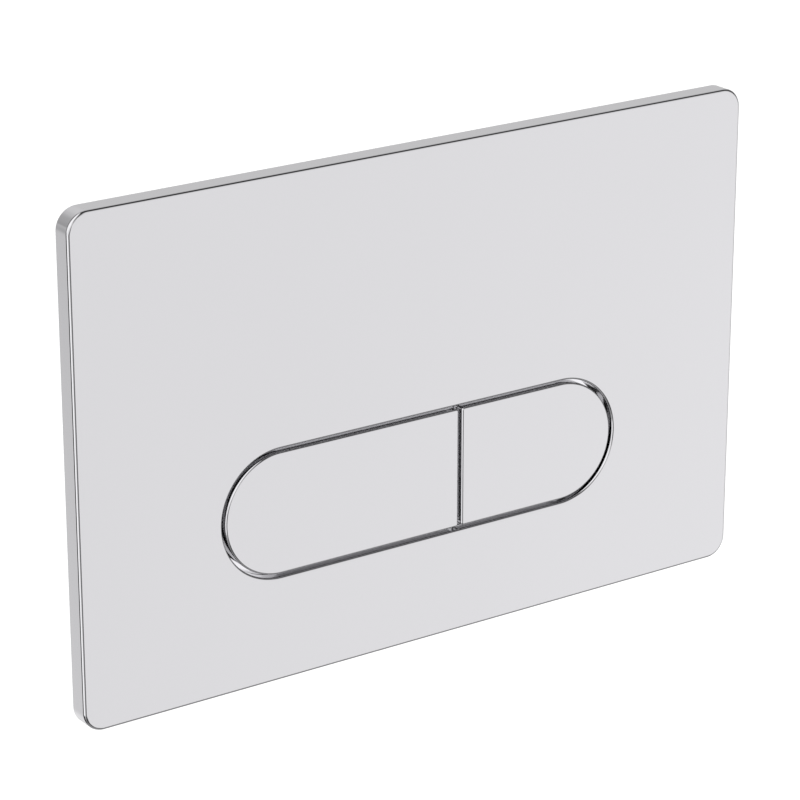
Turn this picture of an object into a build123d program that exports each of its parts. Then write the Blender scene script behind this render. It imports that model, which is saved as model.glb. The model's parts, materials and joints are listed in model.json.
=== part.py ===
from build123d import *

import math
import os

# Dual flush button plate, in millimetres. X runs to the right of a person facing the plate,
# Y runs into the wall and Z runs up. The origin is the middle of the plate on the wall's surface.

# Front plate
PLATE_WIDTH = 234.0
PLATE_HEIGHT = 154.0
PLATE_DEPTH = 6.4
PLATE_CORNER_R = 6.5
PLATE_EDGE_ROUND = 0.8
PLATE_SKIN = 2.2
PLATE_SKIRT = 2.0
COLLAR_WALL = 1.4
COLLAR_DEPTH = 3.4
GUSSET_THICK = 1.2
GUSSET_REACH = 5.5
GUSSET_DROP = 2.8
GUSSETS_LONG = 7
GUSSETS_SHORT = 4
SKIN_RIB_THICK = 1.2
SKIN_RIB_HEIGHT = 1.6
SKIN_RIB_INSET = 12.0

# Opening and buttons
OPENING_LENGTH = 140.6
OPENING_R = 19.9
OPENING_FROM_BOTTOM = 52.5
OPENING_ROUND = 0.7
BUTTON_GAP = 1.1
DIVIDER_X = 12.925
DIVIDER_GAP = 1.25
BUTTON_ROUND = 0.6
BUTTON_CORNER_R = 0.8
BUTTON_SKIN = 2.0
BUTTON_WALL = 1.6
BUTTON_RIB_THICK = 1.2
BUTTON_RIB_SHORT = 0.5
FLANGE_REACH = 2.2
FLANGE_THICK = 1.5
STOP_GAP = 0.3

# Tilt of the buttons about their hinge pins
TILT_DEG = 8.0
HINGE_ABOVE_OPENING = 5.8
HINGE_Y = -1.6
PIN_R = 1.2
PIN_SNUG = 0.02
PIN_RUNNING = 0.06
EYE_R = 2.1
LUG_WIDTH = 5.0
LUG_SIDE_GAP = 0.4
LUG_ARM_THICK = 1.8
FULL_HINGE_SPAN = (-52.0, -2.0)
HALF_HINGE_SPAN = (22.0, 58.0)

# Push rods
ROD_SPACING = 70.0
ROD_BELOW_MIDDLE = 6.5
ROD_R = 3.0
ROD_END_Y = 62.0
ROD_TIP_R = 2.5
ROD_TIP_LENGTH = 14.0
ROD_CHAMFER = 0.8
PUSHER_R = 5.0
PUSHER_REAR_Y = 0.4
HEAD_R = 7.5
HEAD_DOME_R = 16.0
HEAD_SEAT_DEPTH = 4.3
HEAD_HUB_R = 4.6
HEAD_BORE_DEPTH = 3.3
THREAD_FIT = 0.05
RUNNING_FIT = 0.35
GUIDE_FLANGE_R = 9.0
GUIDE_FLANGE_THICK = 1.5
GUIDE_BODY_R = 6.5
GUIDE_SLEEVE_R = 5.4
GUIDE_LENGTH = 10.0
GUIDE_BEAD = 0.6
GUIDE_BEAD_LENGTH = 1.4
GUIDE_SLIT = 1.0
SNAP_FIT = 0.1
SPRING_MEAN_R = 6.1
SPRING_WIRE_R = 0.45
SPRING_TURNS = 4.0
SPRING_SEAT_GAP = 0.05
ROD_NUT_FLATS = 10.0
ROD_NUT_THICK = 5.0

# Button carrier
CARRIER_CORNER_R = 5.0
CARRIER_FRONT_Y = -2.2
CARRIER_THICK = 2.0
CARRIER_RIM_WALL = 1.6
CARRIER_RIM_HEIGHT = 2.2
CARRIER_SWING_GAP = 0.8
CARRIER_LIP_WALL = 1.4
CARRIER_LIP_HEIGHT = 1.2
CARRIER_WINDOW_WIDTH = 22.0
CARRIER_WINDOW_CORNER_R = 3.0
CARRIER_WINDOW_PITCH = 30.0
CARRIER_WINDOW_COUNT = 5
CARRIER_HINGE_WEB = 8.2
CARRIER_SCREW_WEB = 5.6
EAR_R = 2.4
EAR_LENGTH = 5.0
EAR_END_WALL = 1.0
EAR_SLOT = 2.0
EYE_SWING_GAP = 0.5

# Screws between carrier and front plate
SCREW_INSET = 11.0
SCREW_LOW_INSET = 3.3
SCREW_SHANK_R = 1.2
SCREW_HEAD_R = 2.4
SCREW_HEAD_THICK = 1.5
SCREW_LENGTH = 4.8
SCREW_HOLE_R = 1.45
SCREW_HEAD_GAP = 0.4
SCREW_RECESS_WIDTH = 0.6
SCREW_RECESS_LENGTH = 2.8
SCREW_RECESS_DEPTH = 0.7
BOSS_R = 2.6
BOSS_FLOOR = 1.2

# Snap hooks between carrier and mounting frame
HOOK_X = 45.0
HOOK_WIDTH = 14.0
HOOK_THICK = 2.0
HOOK_LIP_Y = 5.0
HOOK_REACH = 1.4
LATCH_INSET = 23.0
LATCH_WIDTH = 12.0
LATCH_THICK = 1.8
LATCH_BARB_Y = 5.0
LATCH_BARB_LENGTH = 5.0
LATCH_TIP = 1.0
SNAP_GAP = 0.4

# Mounting frame
FRAME_GAP = 8.0
TRAY_GAP = 2.0
TRAY_WALL = 2.0
TRAY_CORNER_R = 6.0
TRAY_DEPTH = 24.0
LIP_REACH = 3.0
LIP_THICK = 2.0
FRAME_FLANGE_REACH = 10.0
FRAME_FLANGE_THICK = 2.0
FRAME_CORNER_R = 12.0
FRAME_EDGE_ROUND = 0.6
TRAY_EDGE_ROUND = 2.0
EAR_PLATE_REACH = 40.0
EAR_PLATE_HEIGHT = 34.0
EAR_PLATE_CORNER_R = 6.0
TRAY_GUSSET = 6.0
TRAY_GUSSET_THICK = 1.6
TRAY_GUSSET_X = (-60.0, 60.0)
TRAY_GUSSET_Z = (-14.0, 14.0)

# Rod bridge
BRIDGE_THICK = 2.0
BRIDGE_TOP_Z = 12.0
BRIDGE_PAST_STUD = 12.0
BRIDGE_PAST_ROD = 11.0
BRIDGE_CORNER_R = 5.0
BRIDGE_WALL_GAP = 1.0
BRIDGE_RIM_WALL = 1.6
BRIDGE_RIM_HEIGHT = 1.6
GUIDE_RIM_R = 11.5
GUIDE_RIM_WALL = 1.6
GUIDE_RIM_HEIGHT = 2.5

# Wall fixings
STUD_SPACING = 140.0
STUD_R = 3.0
STUD_REAR_R = 4.0
STUD_FRONT_Y = 9.5
STUD_END_Y = 55.0
STUD_COLLAR_FLATS = 12.0
STUD_COLLAR_THICK = 3.5
STUD_CHAMFER = 0.8
STUD_SLOT_WIDTH = 1.2
STUD_SLOT_DEPTH = 2.0
SLOT_WIDTH = 6.6
SLOT_LENGTH = 14.0
PAD_R = 11.0
PAD_THICK = 1.5
WASHER_R = 8.0
WASHER_THICK = 1.4
WASHER_BORE_R = 3.3
NUT_R = 7.6
NUT_THICK = 7.0
NUT_FLUTES = 12
NUT_FLUTE_R = 1.3
NUT_CHAMFER = 0.9

# Positions that follow from the sizes above
FACE_Y = -PLATE_DEPTH
SKIN_Y = FACE_Y + PLATE_SKIN
COLLAR_Y = FACE_Y + COLLAR_DEPTH
OPENING_Z = OPENING_FROM_BOTTOM - PLATE_HEIGHT / 2
OPENING_STRAIGHT = OPENING_LENGTH - 2 * OPENING_R
OPENING_TOP_Z = OPENING_Z + OPENING_R
BUTTON_R = OPENING_R - BUTTON_GAP
BUTTON_TOP_Z = OPENING_Z + BUTTON_R
BUTTON_INNER_Y = FACE_Y + BUTTON_SKIN
FULL_EDGE_X = DIVIDER_X - DIVIDER_GAP / 2
HALF_EDGE_X = DIVIDER_X + DIVIDER_GAP / 2
FLANGE_Y = COLLAR_Y + STOP_GAP
BUTTON_REAR_Y = FLANGE_Y + FLANGE_THICK
HINGE_Z = OPENING_TOP_Z + HINGE_ABOVE_OPENING
ROD_Z = OPENING_Z - ROD_BELOW_MIDDLE
CARRIER_REAR_Y = CARRIER_FRONT_Y + CARRIER_THICK
SWING_R = BUTTON_R + FLANGE_REACH + CARRIER_SWING_GAP
FRAME_REACH = TRAY_WALL + FRAME_FLANGE_REACH
TRAY_WIDTH = PLATE_WIDTH - 2 * (PLATE_SKIRT + FRAME_GAP + FRAME_REACH)
TRAY_HEIGHT = PLATE_HEIGHT - 2 * (PLATE_SKIRT + FRAME_GAP + FRAME_REACH)
CARRIER_WIDTH = TRAY_WIDTH - 2 * TRAY_GAP
CARRIER_HEIGHT = TRAY_HEIGHT - 2 * TRAY_GAP
LATCH_X = CARRIER_WIDTH / 2 - LATCH_INSET
SCREW_X = CARRIER_WIDTH / 2 - SCREW_INSET
SCREW_Z = CARRIER_HEIGHT / 2 - SCREW_INSET
SCREW_LOW_Z = SCREW_LOW_INSET - CARRIER_HEIGHT / 2
HINGE_WINDOW_TOP_Z = HINGE_Z + EYE_R + EYE_SWING_GAP
CARRIER_WINDOW_LOW_Z = HINGE_WINDOW_TOP_Z + CARRIER_HINGE_WEB
CARRIER_WINDOW_TOP_Z = SCREW_Z - SCREW_HEAD_R - CARRIER_SCREW_WEB
CARRIER_WINDOW_HEIGHT = CARRIER_WINDOW_TOP_Z - CARRIER_WINDOW_LOW_Z
CARRIER_WINDOW_Z = (CARRIER_WINDOW_TOP_Z + CARRIER_WINDOW_LOW_Z) / 2
LIP_Y = TRAY_DEPTH - LIP_THICK
BRIDGE_Y = LIP_Y - BRIDGE_THICK
FULL_ROD_X = -ROD_SPACING / 2
HALF_ROD_X = ROD_SPACING / 2
HEAD_FRONT_Y = PUSHER_REAR_Y + STOP_GAP
TILT = math.radians(TILT_DEG)
TILT_RISE = (HEAD_DOME_R + PUSHER_REAR_Y - HINGE_Y) * (1 / math.cos(TILT) - 1)
ROD_TRAVEL = (HINGE_Z - ROD_Z) * math.tan(TILT) + TILT_RISE
HEAD_SEAT_Y = HEAD_FRONT_Y + HEAD_SEAT_DEPTH
GUIDE_FRONT_Y = BRIDGE_Y - GUIDE_FLANGE_THICK
GUIDE_END_Y = LIP_Y + GUIDE_LENGTH
HEAD_HUB_END_Y = GUIDE_FRONT_Y - ROD_TRAVEL - STOP_GAP
SOCKET_R = GUIDE_BODY_R + SNAP_FIT
ROD_NUT_Y = GUIDE_END_Y + STOP_GAP
WASHER_Y = BRIDGE_Y - WASHER_THICK
NUT_Y = WASHER_Y - NUT_THICK
STUD_X = STUD_SPACING / 2
STUD_COLLAR_Y = TRAY_DEPTH + PAD_THICK
SCREW_PLACES = (
    (-SCREW_X, SCREW_Z),
    (0.0, SCREW_Z),
    (SCREW_X, SCREW_Z),
    (-SCREW_X, -SCREW_Z),
    (0.0, SCREW_LOW_Z),
    (SCREW_X, -SCREW_Z),
)


def prism(sketch, y0, y1):
    """Outline drawn in X and Z, filled from depth y0 to depth y1."""
    return extrude(Plane.XZ.offset(-y1) * sketch, amount=y1 - y0)


def block(x0, x1, y0, y1, z0, z1):
    return Pos((x0 + x1) / 2, (y0 + y1) / 2, (z0 + z1) / 2) * Box(x1 - x0, y1 - y0, z1 - z0)


def rod_along_y(x, z, radius, y0, y1):
    return prism(Pos(x, z) * Circle(radius), y0, y1)


def rod_along_x(y, z, radius, x0, x1):
    return Pos((x0 + x1) / 2, y, z) * Rot(0, 90, 0) * Cylinder(radius, x1 - x0)


def turned(points, x, z):
    """Profile of radius and depth pairs, turned about the line along Y through x and z."""
    profile = make_face(Polyline(*[(r, y) for r, y in points], close=True))
    return Pos(x, 0, z) * revolve(profile, Axis.Y)


def stadium(radius):
    """Outline of the button opening, drawn at another end radius."""
    return Pos(0, OPENING_Z) * SlotOverall(OPENING_STRAIGHT + 2 * radius, 2 * radius)


def button_outline(side, radius, inset):
    """Half of the stadium on one side of the divider, its straight end set back by inset."""
    far = side * OPENING_LENGTH
    edge = (FULL_EDGE_X if side < 0 else HALF_EDGE_X) + side * inset
    half = Pos((far + edge) / 2, OPENING_Z) * Rectangle(abs(far - edge), 4 * radius)
    return stadium(radius) & half


def front_plate():
    outer = RectangleRounded(PLATE_WIDTH, PLATE_HEIGHT, PLATE_CORNER_R)
    inner_r = PLATE_CORNER_R - PLATE_SKIRT
    inner_width = PLATE_WIDTH - 2 * PLATE_SKIRT
    inner_height = PLATE_HEIGHT - 2 * PLATE_SKIRT
    plate = prism(outer, FACE_Y, 0)
    plate -= prism(RectangleRounded(inner_width, inner_height, inner_r), SKIN_Y, 0)
    plate += prism(stadium(OPENING_R + COLLAR_WALL), SKIN_Y, COLLAR_Y)
    plate -= prism(stadium(OPENING_R), FACE_Y, COLLAR_Y)
    face = plate.faces().sort_by(Axis.Y)[0]
    plate = fillet(face.outer_wire().edges(), PLATE_EDGE_ROUND)
    face = plate.faces().sort_by(Axis.Y)[0]
    plate = fillet(face.inner_wires()[0].edges(), OPENING_ROUND)
    plate += skirt_gussets(inner_width / 2, inner_height / 2)
    plate += skin_ribs(inner_width / 2 - SKIN_RIB_INSET)
    for x, z in SCREW_PLACES:
        plate += rod_along_y(x, z, BOSS_R, SKIN_Y, CARRIER_FRONT_Y)
    for x, z in SCREW_PLACES:
        plate -= rod_along_y(x, z, SCREW_SHANK_R + THREAD_FIT, FACE_Y + BOSS_FLOOR, CARRIER_FRONT_Y)
    return plate


def skirt_gussets(half_width, half_height):
    """Triangular webs that brace the skirt against the skin."""
    gussets = Part()
    for side in (-1, 1):
        web = gusset(side * half_height)
        for place in range(GUSSETS_LONG):
            x = (place - (GUSSETS_LONG - 1) / 2) * 2 * half_width / GUSSETS_LONG
            gussets += Pos(x, 0, 0) * web
        web = gusset(side * half_width)
        for place in range(GUSSETS_SHORT):
            z = (place - (GUSSETS_SHORT - 1) / 2) * 2 * half_height / GUSSETS_SHORT
            gussets += Pos(0, 0, z) * Rot(0, 90, 0) * web
    return gussets


def gusset(reach):
    """One triangular web that stands on the skin and against the skirt at the given Z."""
    inward = math.copysign(GUSSET_REACH, -reach)
    corners = [(SKIN_Y, reach), (SKIN_Y + GUSSET_DROP, reach), (SKIN_Y, reach + inward)]
    side = Plane.YZ * make_face(Polyline(*corners, close=True))
    return extrude(side, amount=GUSSET_THICK / 2, both=True)


def skin_ribs(half_length):
    """Low stiffening ribs behind the skin, above the opening."""
    ribs = Part()
    top = SKIN_Y + SKIN_RIB_HEIGHT
    half = SKIN_RIB_THICK / 2
    rib_step = CARRIER_WINDOW_HEIGHT / 4
    for z in (CARRIER_WINDOW_Z - rib_step, CARRIER_WINDOW_Z + rib_step):
        ribs += block(-half_length, half_length, SKIN_Y, top, z - half, z + half)
    return ribs


def button(side, hinge_span, rod_x):
    outline = button_outline(side, BUTTON_R, 0)
    straight_end = outline.vertices().sort_by(Axis.X)
    corners = straight_end[-2:] if side < 0 else straight_end[:2]
    outline = fillet(corners, BUTTON_CORNER_R)
    shell = prism(outline, FACE_Y, BUTTON_REAR_Y)
    shell = fillet(shell.faces().sort_by(Axis.Y)[0].edges(), BUTTON_ROUND)
    hollow = button_outline(side, BUTTON_R - BUTTON_WALL, BUTTON_WALL)
    flange = button_outline(side, BUTTON_R + FLANGE_REACH, BUTTON_CORNER_R)
    shell += prism(flange, FLANGE_Y, BUTTON_REAR_Y)
    shell -= prism(hollow, BUTTON_INNER_Y, BUTTON_REAR_Y)
    shell += button_ribs(hollow, hinge_span, rod_x)
    shell += rod_along_y(rod_x, ROD_Z, PUSHER_R, BUTTON_INNER_Y, PUSHER_REAR_Y)
    for x in lug_places(hinge_span):
        shell += hinge_lug(x)
    bore = rod_along_x(HINGE_Y, HINGE_Z, PIN_R + PIN_RUNNING, hinge_span[0], hinge_span[1])
    return shell - bore


def lug_places(hinge_span):
    inset = LUG_SIDE_GAP + LUG_WIDTH / 2
    return (hinge_span[0] + inset, hinge_span[1] - inset)


def button_ribs(hollow, hinge_span, rod_x):
    """Ribs inside a button: one along it through the pusher and one up to each hinge lug."""
    grid = Pos(0, ROD_Z) * Rectangle(2 * OPENING_LENGTH, BUTTON_RIB_THICK)
    for x in (*lug_places(hinge_span), rod_x):
        grid += Pos(x, OPENING_Z) * Rectangle(BUTTON_RIB_THICK, 2 * OPENING_R)
    return prism(grid & hollow, BUTTON_INNER_Y, BUTTON_REAR_Y - BUTTON_RIB_SHORT)


def hinge_lug(x):
    """Arm that reaches up behind the collar to an eye round the hinge pin."""
    x0 = x - LUG_WIDTH / 2
    x1 = x + LUG_WIDTH / 2
    arm = block(x0, x1, FLANGE_Y, FLANGE_Y + LUG_ARM_THICK, BUTTON_TOP_Z - BUTTON_WALL, HINGE_Z)
    return arm + rod_along_x(HINGE_Y, HINGE_Z, EYE_R, x0, x1)


def hinge_pin(hinge_span):
    reach = EAR_LENGTH - EAR_END_WALL - PIN_SNUG
    return rod_along_x(HINGE_Y, HINGE_Z, PIN_R, hinge_span[0] - reach, hinge_span[1] + reach)


def button_carrier():
    outer = RectangleRounded(CARRIER_WIDTH, CARRIER_HEIGHT, CARRIER_CORNER_R)
    inner_r = CARRIER_CORNER_R - CARRIER_RIM_WALL
    inner_width = CARRIER_WIDTH - 2 * CARRIER_RIM_WALL
    inner = RectangleRounded(inner_width, CARRIER_HEIGHT - 2 * CARRIER_RIM_WALL, inner_r)
    carrier = prism(outer, CARRIER_FRONT_Y, CARRIER_REAR_Y)
    carrier += prism(outer - inner, CARRIER_REAR_Y, CARRIER_REAR_Y + CARRIER_RIM_HEIGHT)
    lip = stadium(SWING_R + CARRIER_LIP_WALL)
    carrier += prism(lip, CARRIER_REAR_Y, CARRIER_REAR_Y + CARRIER_LIP_HEIGHT)
    openings = stadium(SWING_R)
    for x0, x1 in (FULL_HINGE_SPAN, HALF_HINGE_SPAN):
        height = HINGE_WINDOW_TOP_Z - OPENING_Z
        openings += Pos((x0 + x1) / 2, OPENING_Z + height / 2) * Rectangle(x1 - x0, height)
    light = RectangleRounded(CARRIER_WINDOW_WIDTH, CARRIER_WINDOW_HEIGHT, CARRIER_WINDOW_CORNER_R)
    for place in range(CARRIER_WINDOW_COUNT):
        x = (place - (CARRIER_WINDOW_COUNT - 1) / 2) * CARRIER_WINDOW_PITCH
        openings += Pos(x, CARRIER_WINDOW_Z) * light
    for x, z in SCREW_PLACES:
        openings += Pos(x, z) * Circle(SCREW_HOLE_R)
    rim_y = CARRIER_REAR_Y + CARRIER_RIM_HEIGHT
    carrier -= prism(openings, CARRIER_FRONT_Y, rim_y)
    for x, z in SCREW_PLACES:
        carrier -= rod_along_y(x, z, SCREW_HEAD_R + SCREW_HEAD_GAP, CARRIER_REAR_Y, rim_y)
    for span in (FULL_HINGE_SPAN, HALF_HINGE_SPAN):
        carrier += hinge_ears(span)
    for span in (FULL_HINGE_SPAN, HALF_HINGE_SPAN):
        carrier -= ear_slots(span)
    for side in (-1, 1):
        carrier += top_hook(side * HOOK_X)
        carrier += low_latch(side * LATCH_X)
    return carrier


def hinge_ears(span):
    left = rod_along_x(HINGE_Y, HINGE_Z, EAR_R, span[0] - EAR_LENGTH, span[0])
    right = rod_along_x(HINGE_Y, HINGE_Z, EAR_R, span[1], span[1] + EAR_LENGTH)
    return left + right


def ear_slots(span):
    """Pin seats in the ears, open to the rear through a narrower throat."""
    reach = EAR_LENGTH - EAR_END_WALL
    slots = Part()
    for x0, x1 in ((span[0] - reach, span[0]), (span[1], span[1] + reach)):
        slots += rod_along_x(HINGE_Y, HINGE_Z, PIN_R + PIN_SNUG, x0, x1)
        rear = HINGE_Y + 2 * EAR_R
        slots += block(x0, x1, HINGE_Y, rear, HINGE_Z - EAR_SLOT / 2, HINGE_Z + EAR_SLOT / 2)
    return slots


def top_hook(x):
    """Rigid hook on the carrier's upper edge, its lip through the tray's upper wall."""
    x0 = x - HOOK_WIDTH / 2
    x1 = x + HOOK_WIDTH / 2
    edge = CARRIER_HEIGHT / 2
    lip_end = HOOK_LIP_Y + HOOK_THICK
    arm = block(x0, x1, CARRIER_FRONT_Y, lip_end, edge - HOOK_THICK, edge)
    return arm + block(x0, x1, HOOK_LIP_Y, lip_end, edge - HOOK_THICK, edge + TRAY_GAP + HOOK_REACH)


def low_latch(x):
    """Springy tongue on the carrier's lower edge, its barb through the tray's lower wall."""
    edge = -CARRIER_HEIGHT / 2
    root = edge + LATCH_THICK
    tip = edge - TRAY_GAP - HOOK_REACH
    end = LATCH_BARB_Y + LATCH_BARB_LENGTH
    corners = [
        (CARRIER_FRONT_Y, root),
        (CARRIER_FRONT_Y, edge),
        (LATCH_BARB_Y, edge),
        (LATCH_BARB_Y, tip),
        (LATCH_BARB_Y + LATCH_TIP, tip),
        (end, edge),
        (end, root),
    ]
    side = Plane.YZ * make_face(Polyline(*corners, close=True))
    return Pos(x, 0, 0) * extrude(side, amount=LATCH_WIDTH / 2, both=True)


def carrier_screws():
    screws = []
    head_y = CARRIER_REAR_Y + SCREW_HEAD_THICK
    half = SCREW_RECESS_WIDTH / 2
    reach = SCREW_RECESS_LENGTH / 2
    for x, z in SCREW_PLACES:
        profile = [
            (0, CARRIER_REAR_Y - SCREW_LENGTH),
            (SCREW_SHANK_R / 2, CARRIER_REAR_Y - SCREW_LENGTH),
            (SCREW_SHANK_R, CARRIER_REAR_Y - SCREW_LENGTH + SCREW_SHANK_R / 2),
            (SCREW_SHANK_R, CARRIER_REAR_Y),
            (SCREW_HEAD_R, CARRIER_REAR_Y),
            (SCREW_HEAD_R, head_y - SCREW_HEAD_THICK / 3),
            (SCREW_HEAD_R - SCREW_HEAD_THICK / 3, head_y),
            (0, head_y),
        ]
        recess = Pos(x, z) * (Rectangle(2 * reach, 2 * half) + Rectangle(2 * half, 2 * reach))
        screw = turned(profile, x, z) - prism(recess, head_y - SCREW_RECESS_DEPTH, head_y)
        screws.append(screw)
    return Compound(children=screws)


def mounting_frame():
    """Flanged ring of walls, with a lip round its rear and an ear at each end for a fixing stud."""
    inner = RectangleRounded(TRAY_WIDTH, TRAY_HEIGHT, TRAY_CORNER_R)
    wall_r = TRAY_CORNER_R + TRAY_WALL
    wall = RectangleRounded(TRAY_WIDTH + 2 * TRAY_WALL, TRAY_HEIGHT + 2 * TRAY_WALL, wall_r)
    flange_width = TRAY_WIDTH + 2 * FRAME_REACH
    flange_height = TRAY_HEIGHT + 2 * FRAME_REACH
    flange = RectangleRounded(flange_width, flange_height, FRAME_CORNER_R)
    frame = prism(flange, -FRAME_FLANGE_THICK, 0)
    frame = fillet(frame.faces().sort_by(Axis.Y)[0].edges(), FRAME_EDGE_ROUND)
    tray = prism(wall, -FRAME_FLANGE_THICK, TRAY_DEPTH)
    frame += fillet(tray.faces().sort_by(Axis.Y)[-1].edges(), TRAY_EDGE_ROUND)
    frame -= prism(inner, -FRAME_FLANGE_THICK, LIP_Y)
    frame -= prism(rear_opening(), LIP_Y, TRAY_DEPTH)
    frame += tray_gussets()
    for x in (-STUD_X, STUD_X):
        frame += rod_along_y(x, 0, PAD_R, TRAY_DEPTH, TRAY_DEPTH + PAD_THICK)
    frame -= prism(stud_slots(), LIP_Y, TRAY_DEPTH + PAD_THICK)
    return frame - snap_slots()


def rear_opening():
    """Opening inside the lip, less the ear at each end."""
    corner_r = TRAY_CORNER_R - LIP_REACH
    lip_width = TRAY_WIDTH - 2 * LIP_REACH
    opening = RectangleRounded(lip_width, TRAY_HEIGHT - 2 * LIP_REACH, corner_r)
    for side in (-1, 1):
        ear = RectangleRounded(2 * EAR_PLATE_REACH, EAR_PLATE_HEIGHT, EAR_PLATE_CORNER_R)
        opening -= Pos(side * TRAY_WIDTH / 2, 0) * ear
    return opening


def stud_slots():
    slots = Sketch()
    for x in (-STUD_X, STUD_X):
        slots += Pos(x, 0) * SlotOverall(SLOT_LENGTH, SLOT_WIDTH)
    return slots


def rod_bridge():
    """Plate clamped in front of the ears by the studs' nuts, with a socket for each rod guide."""
    top_x = STUD_X + BRIDGE_PAST_STUD
    low_x = HALF_ROD_X + BRIDGE_PAST_ROD
    low_z = BRIDGE_WALL_GAP - TRAY_HEIGHT / 2
    corners = [
        (-top_x, BRIDGE_TOP_Z),
        (top_x, BRIDGE_TOP_Z),
        (top_x, -BRIDGE_TOP_Z),
        (low_x, low_z),
        (-low_x, low_z),
        (-top_x, -BRIDGE_TOP_Z),
    ]
    outline = make_face(Polyline(*corners, close=True))
    outline = fillet(outline.vertices(), BRIDGE_CORNER_R)
    bridge = prism(outline, BRIDGE_Y, LIP_Y)
    rim = outline - offset(outline, -BRIDGE_RIM_WALL)
    bridge += prism(rim, BRIDGE_Y - BRIDGE_RIM_HEIGHT, BRIDGE_Y)
    sockets = stud_slots()
    for x in (FULL_ROD_X, HALF_ROD_X):
        ring = Circle(GUIDE_RIM_R) - Circle(GUIDE_RIM_R - GUIDE_RIM_WALL)
        bridge += prism(Pos(x, ROD_Z) * ring, LIP_Y, LIP_Y + GUIDE_RIM_HEIGHT)
        sockets += Pos(x, ROD_Z) * Circle(SOCKET_R)
    return bridge - prism(sockets, BRIDGE_Y, LIP_Y)


def tray_gussets():
    """Triangular webs in the corner between the tray's walls and its lip or ears."""
    gussets = Part()
    for side in (-1, 1):
        web = tray_gusset(side * TRAY_HEIGHT / 2, LIP_REACH)
        for x in TRAY_GUSSET_X:
            gussets += Pos(x, 0, 0) * web
        web = tray_gusset(side * TRAY_WIDTH / 2, TRAY_GUSSET)
        for z in TRAY_GUSSET_Z:
            gussets += Pos(0, 0, z) * Rot(0, 90, 0) * web
    return gussets


def tray_gusset(wall_at, reach):
    inward = math.copysign(reach, -wall_at)
    corners = [(LIP_Y, wall_at), (LIP_Y - TRAY_GUSSET, wall_at), (LIP_Y, wall_at + inward)]
    side = Plane.YZ * make_face(Polyline(*corners, close=True))
    return extrude(side, amount=TRAY_GUSSET_THICK / 2, both=True)


def snap_slots():
    """Slots in the tray's upper and lower walls for the carrier's hooks and latches."""
    slots = Part()
    top = TRAY_HEIGHT / 2
    for side in (-1, 1):
        reach = HOOK_WIDTH / 2 + SNAP_GAP
        x = side * HOOK_X
        end = HOOK_LIP_Y + HOOK_THICK + SNAP_GAP
        slots += block(x - reach, x + reach, HOOK_LIP_Y - SNAP_GAP, end, top, top + TRAY_WALL)
        reach = LATCH_WIDTH / 2 + SNAP_GAP
        x = side * LATCH_X
        end = LATCH_BARB_Y + LATCH_BARB_LENGTH + SNAP_GAP
        slots += block(x - reach, x + reach, LATCH_BARB_Y - SNAP_GAP, end, -top - TRAY_WALL, -top)
    return slots


def fixing_stud(x):
    """Double-ended stud: slotted front thread, hexagonal collar behind the frame, thicker rear thread."""
    profile = [
        (0, STUD_FRONT_Y),
        (STUD_R - STUD_CHAMFER, STUD_FRONT_Y),
        (STUD_R, STUD_FRONT_Y + STUD_CHAMFER),
        (STUD_R, STUD_COLLAR_Y),
        (STUD_REAR_R, STUD_COLLAR_Y),
        (STUD_REAR_R, STUD_END_Y - STUD_CHAMFER),
        (STUD_REAR_R - STUD_CHAMFER, STUD_END_Y),
        (0, STUD_END_Y),
    ]
    half = STUD_SLOT_WIDTH / 2
    slot_end = STUD_FRONT_Y + STUD_SLOT_DEPTH
    collar = Pos(x, 0) * RegularPolygon(STUD_COLLAR_FLATS / math.sqrt(3), 6)
    stud = turned(profile, x, 0) + prism(collar, STUD_COLLAR_Y, STUD_COLLAR_Y + STUD_COLLAR_THICK)
    return stud - block(x - STUD_R, x + STUD_R, STUD_FRONT_Y, slot_end, -half, half)


def fixing_washer(x):
    ring = Circle(WASHER_R) - Circle(WASHER_BORE_R)
    return prism(Pos(x, 0) * ring, WASHER_Y, BRIDGE_Y)


def fixing_nut(x):
    """Hand nut with flutes all round and a bevelled front."""
    profile = [
        (STUD_R + THREAD_FIT, NUT_Y),
        (NUT_R - NUT_CHAMFER, NUT_Y),
        (NUT_R, NUT_Y + NUT_CHAMFER),
        (NUT_R, WASHER_Y),
        (STUD_R + THREAD_FIT, WASHER_Y),
    ]
    nut = turned(profile, x, 0)
    flutes = Pos(x, 0) * PolarLocations(NUT_R + NUT_FLUTE_R / 2, NUT_FLUTES) * Circle(NUT_FLUTE_R)
    return nut - prism(Sketch() + flutes, NUT_Y, WASHER_Y)


def push_rod(x):
    front = HEAD_FRONT_Y + HEAD_BORE_DEPTH + THREAD_FIT
    profile = [
        (0, front),
        (ROD_R - ROD_CHAMFER, front),
        (ROD_R, front + ROD_CHAMFER),
        (ROD_R, ROD_END_Y - ROD_TIP_LENGTH),
        (ROD_TIP_R, ROD_END_Y - ROD_TIP_LENGTH),
        (ROD_TIP_R, ROD_END_Y - ROD_CHAMFER),
        (ROD_TIP_R - ROD_CHAMFER, ROD_END_Y),
        (0, ROD_END_Y),
    ]
    return turned(profile, x, ROD_Z)


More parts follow.
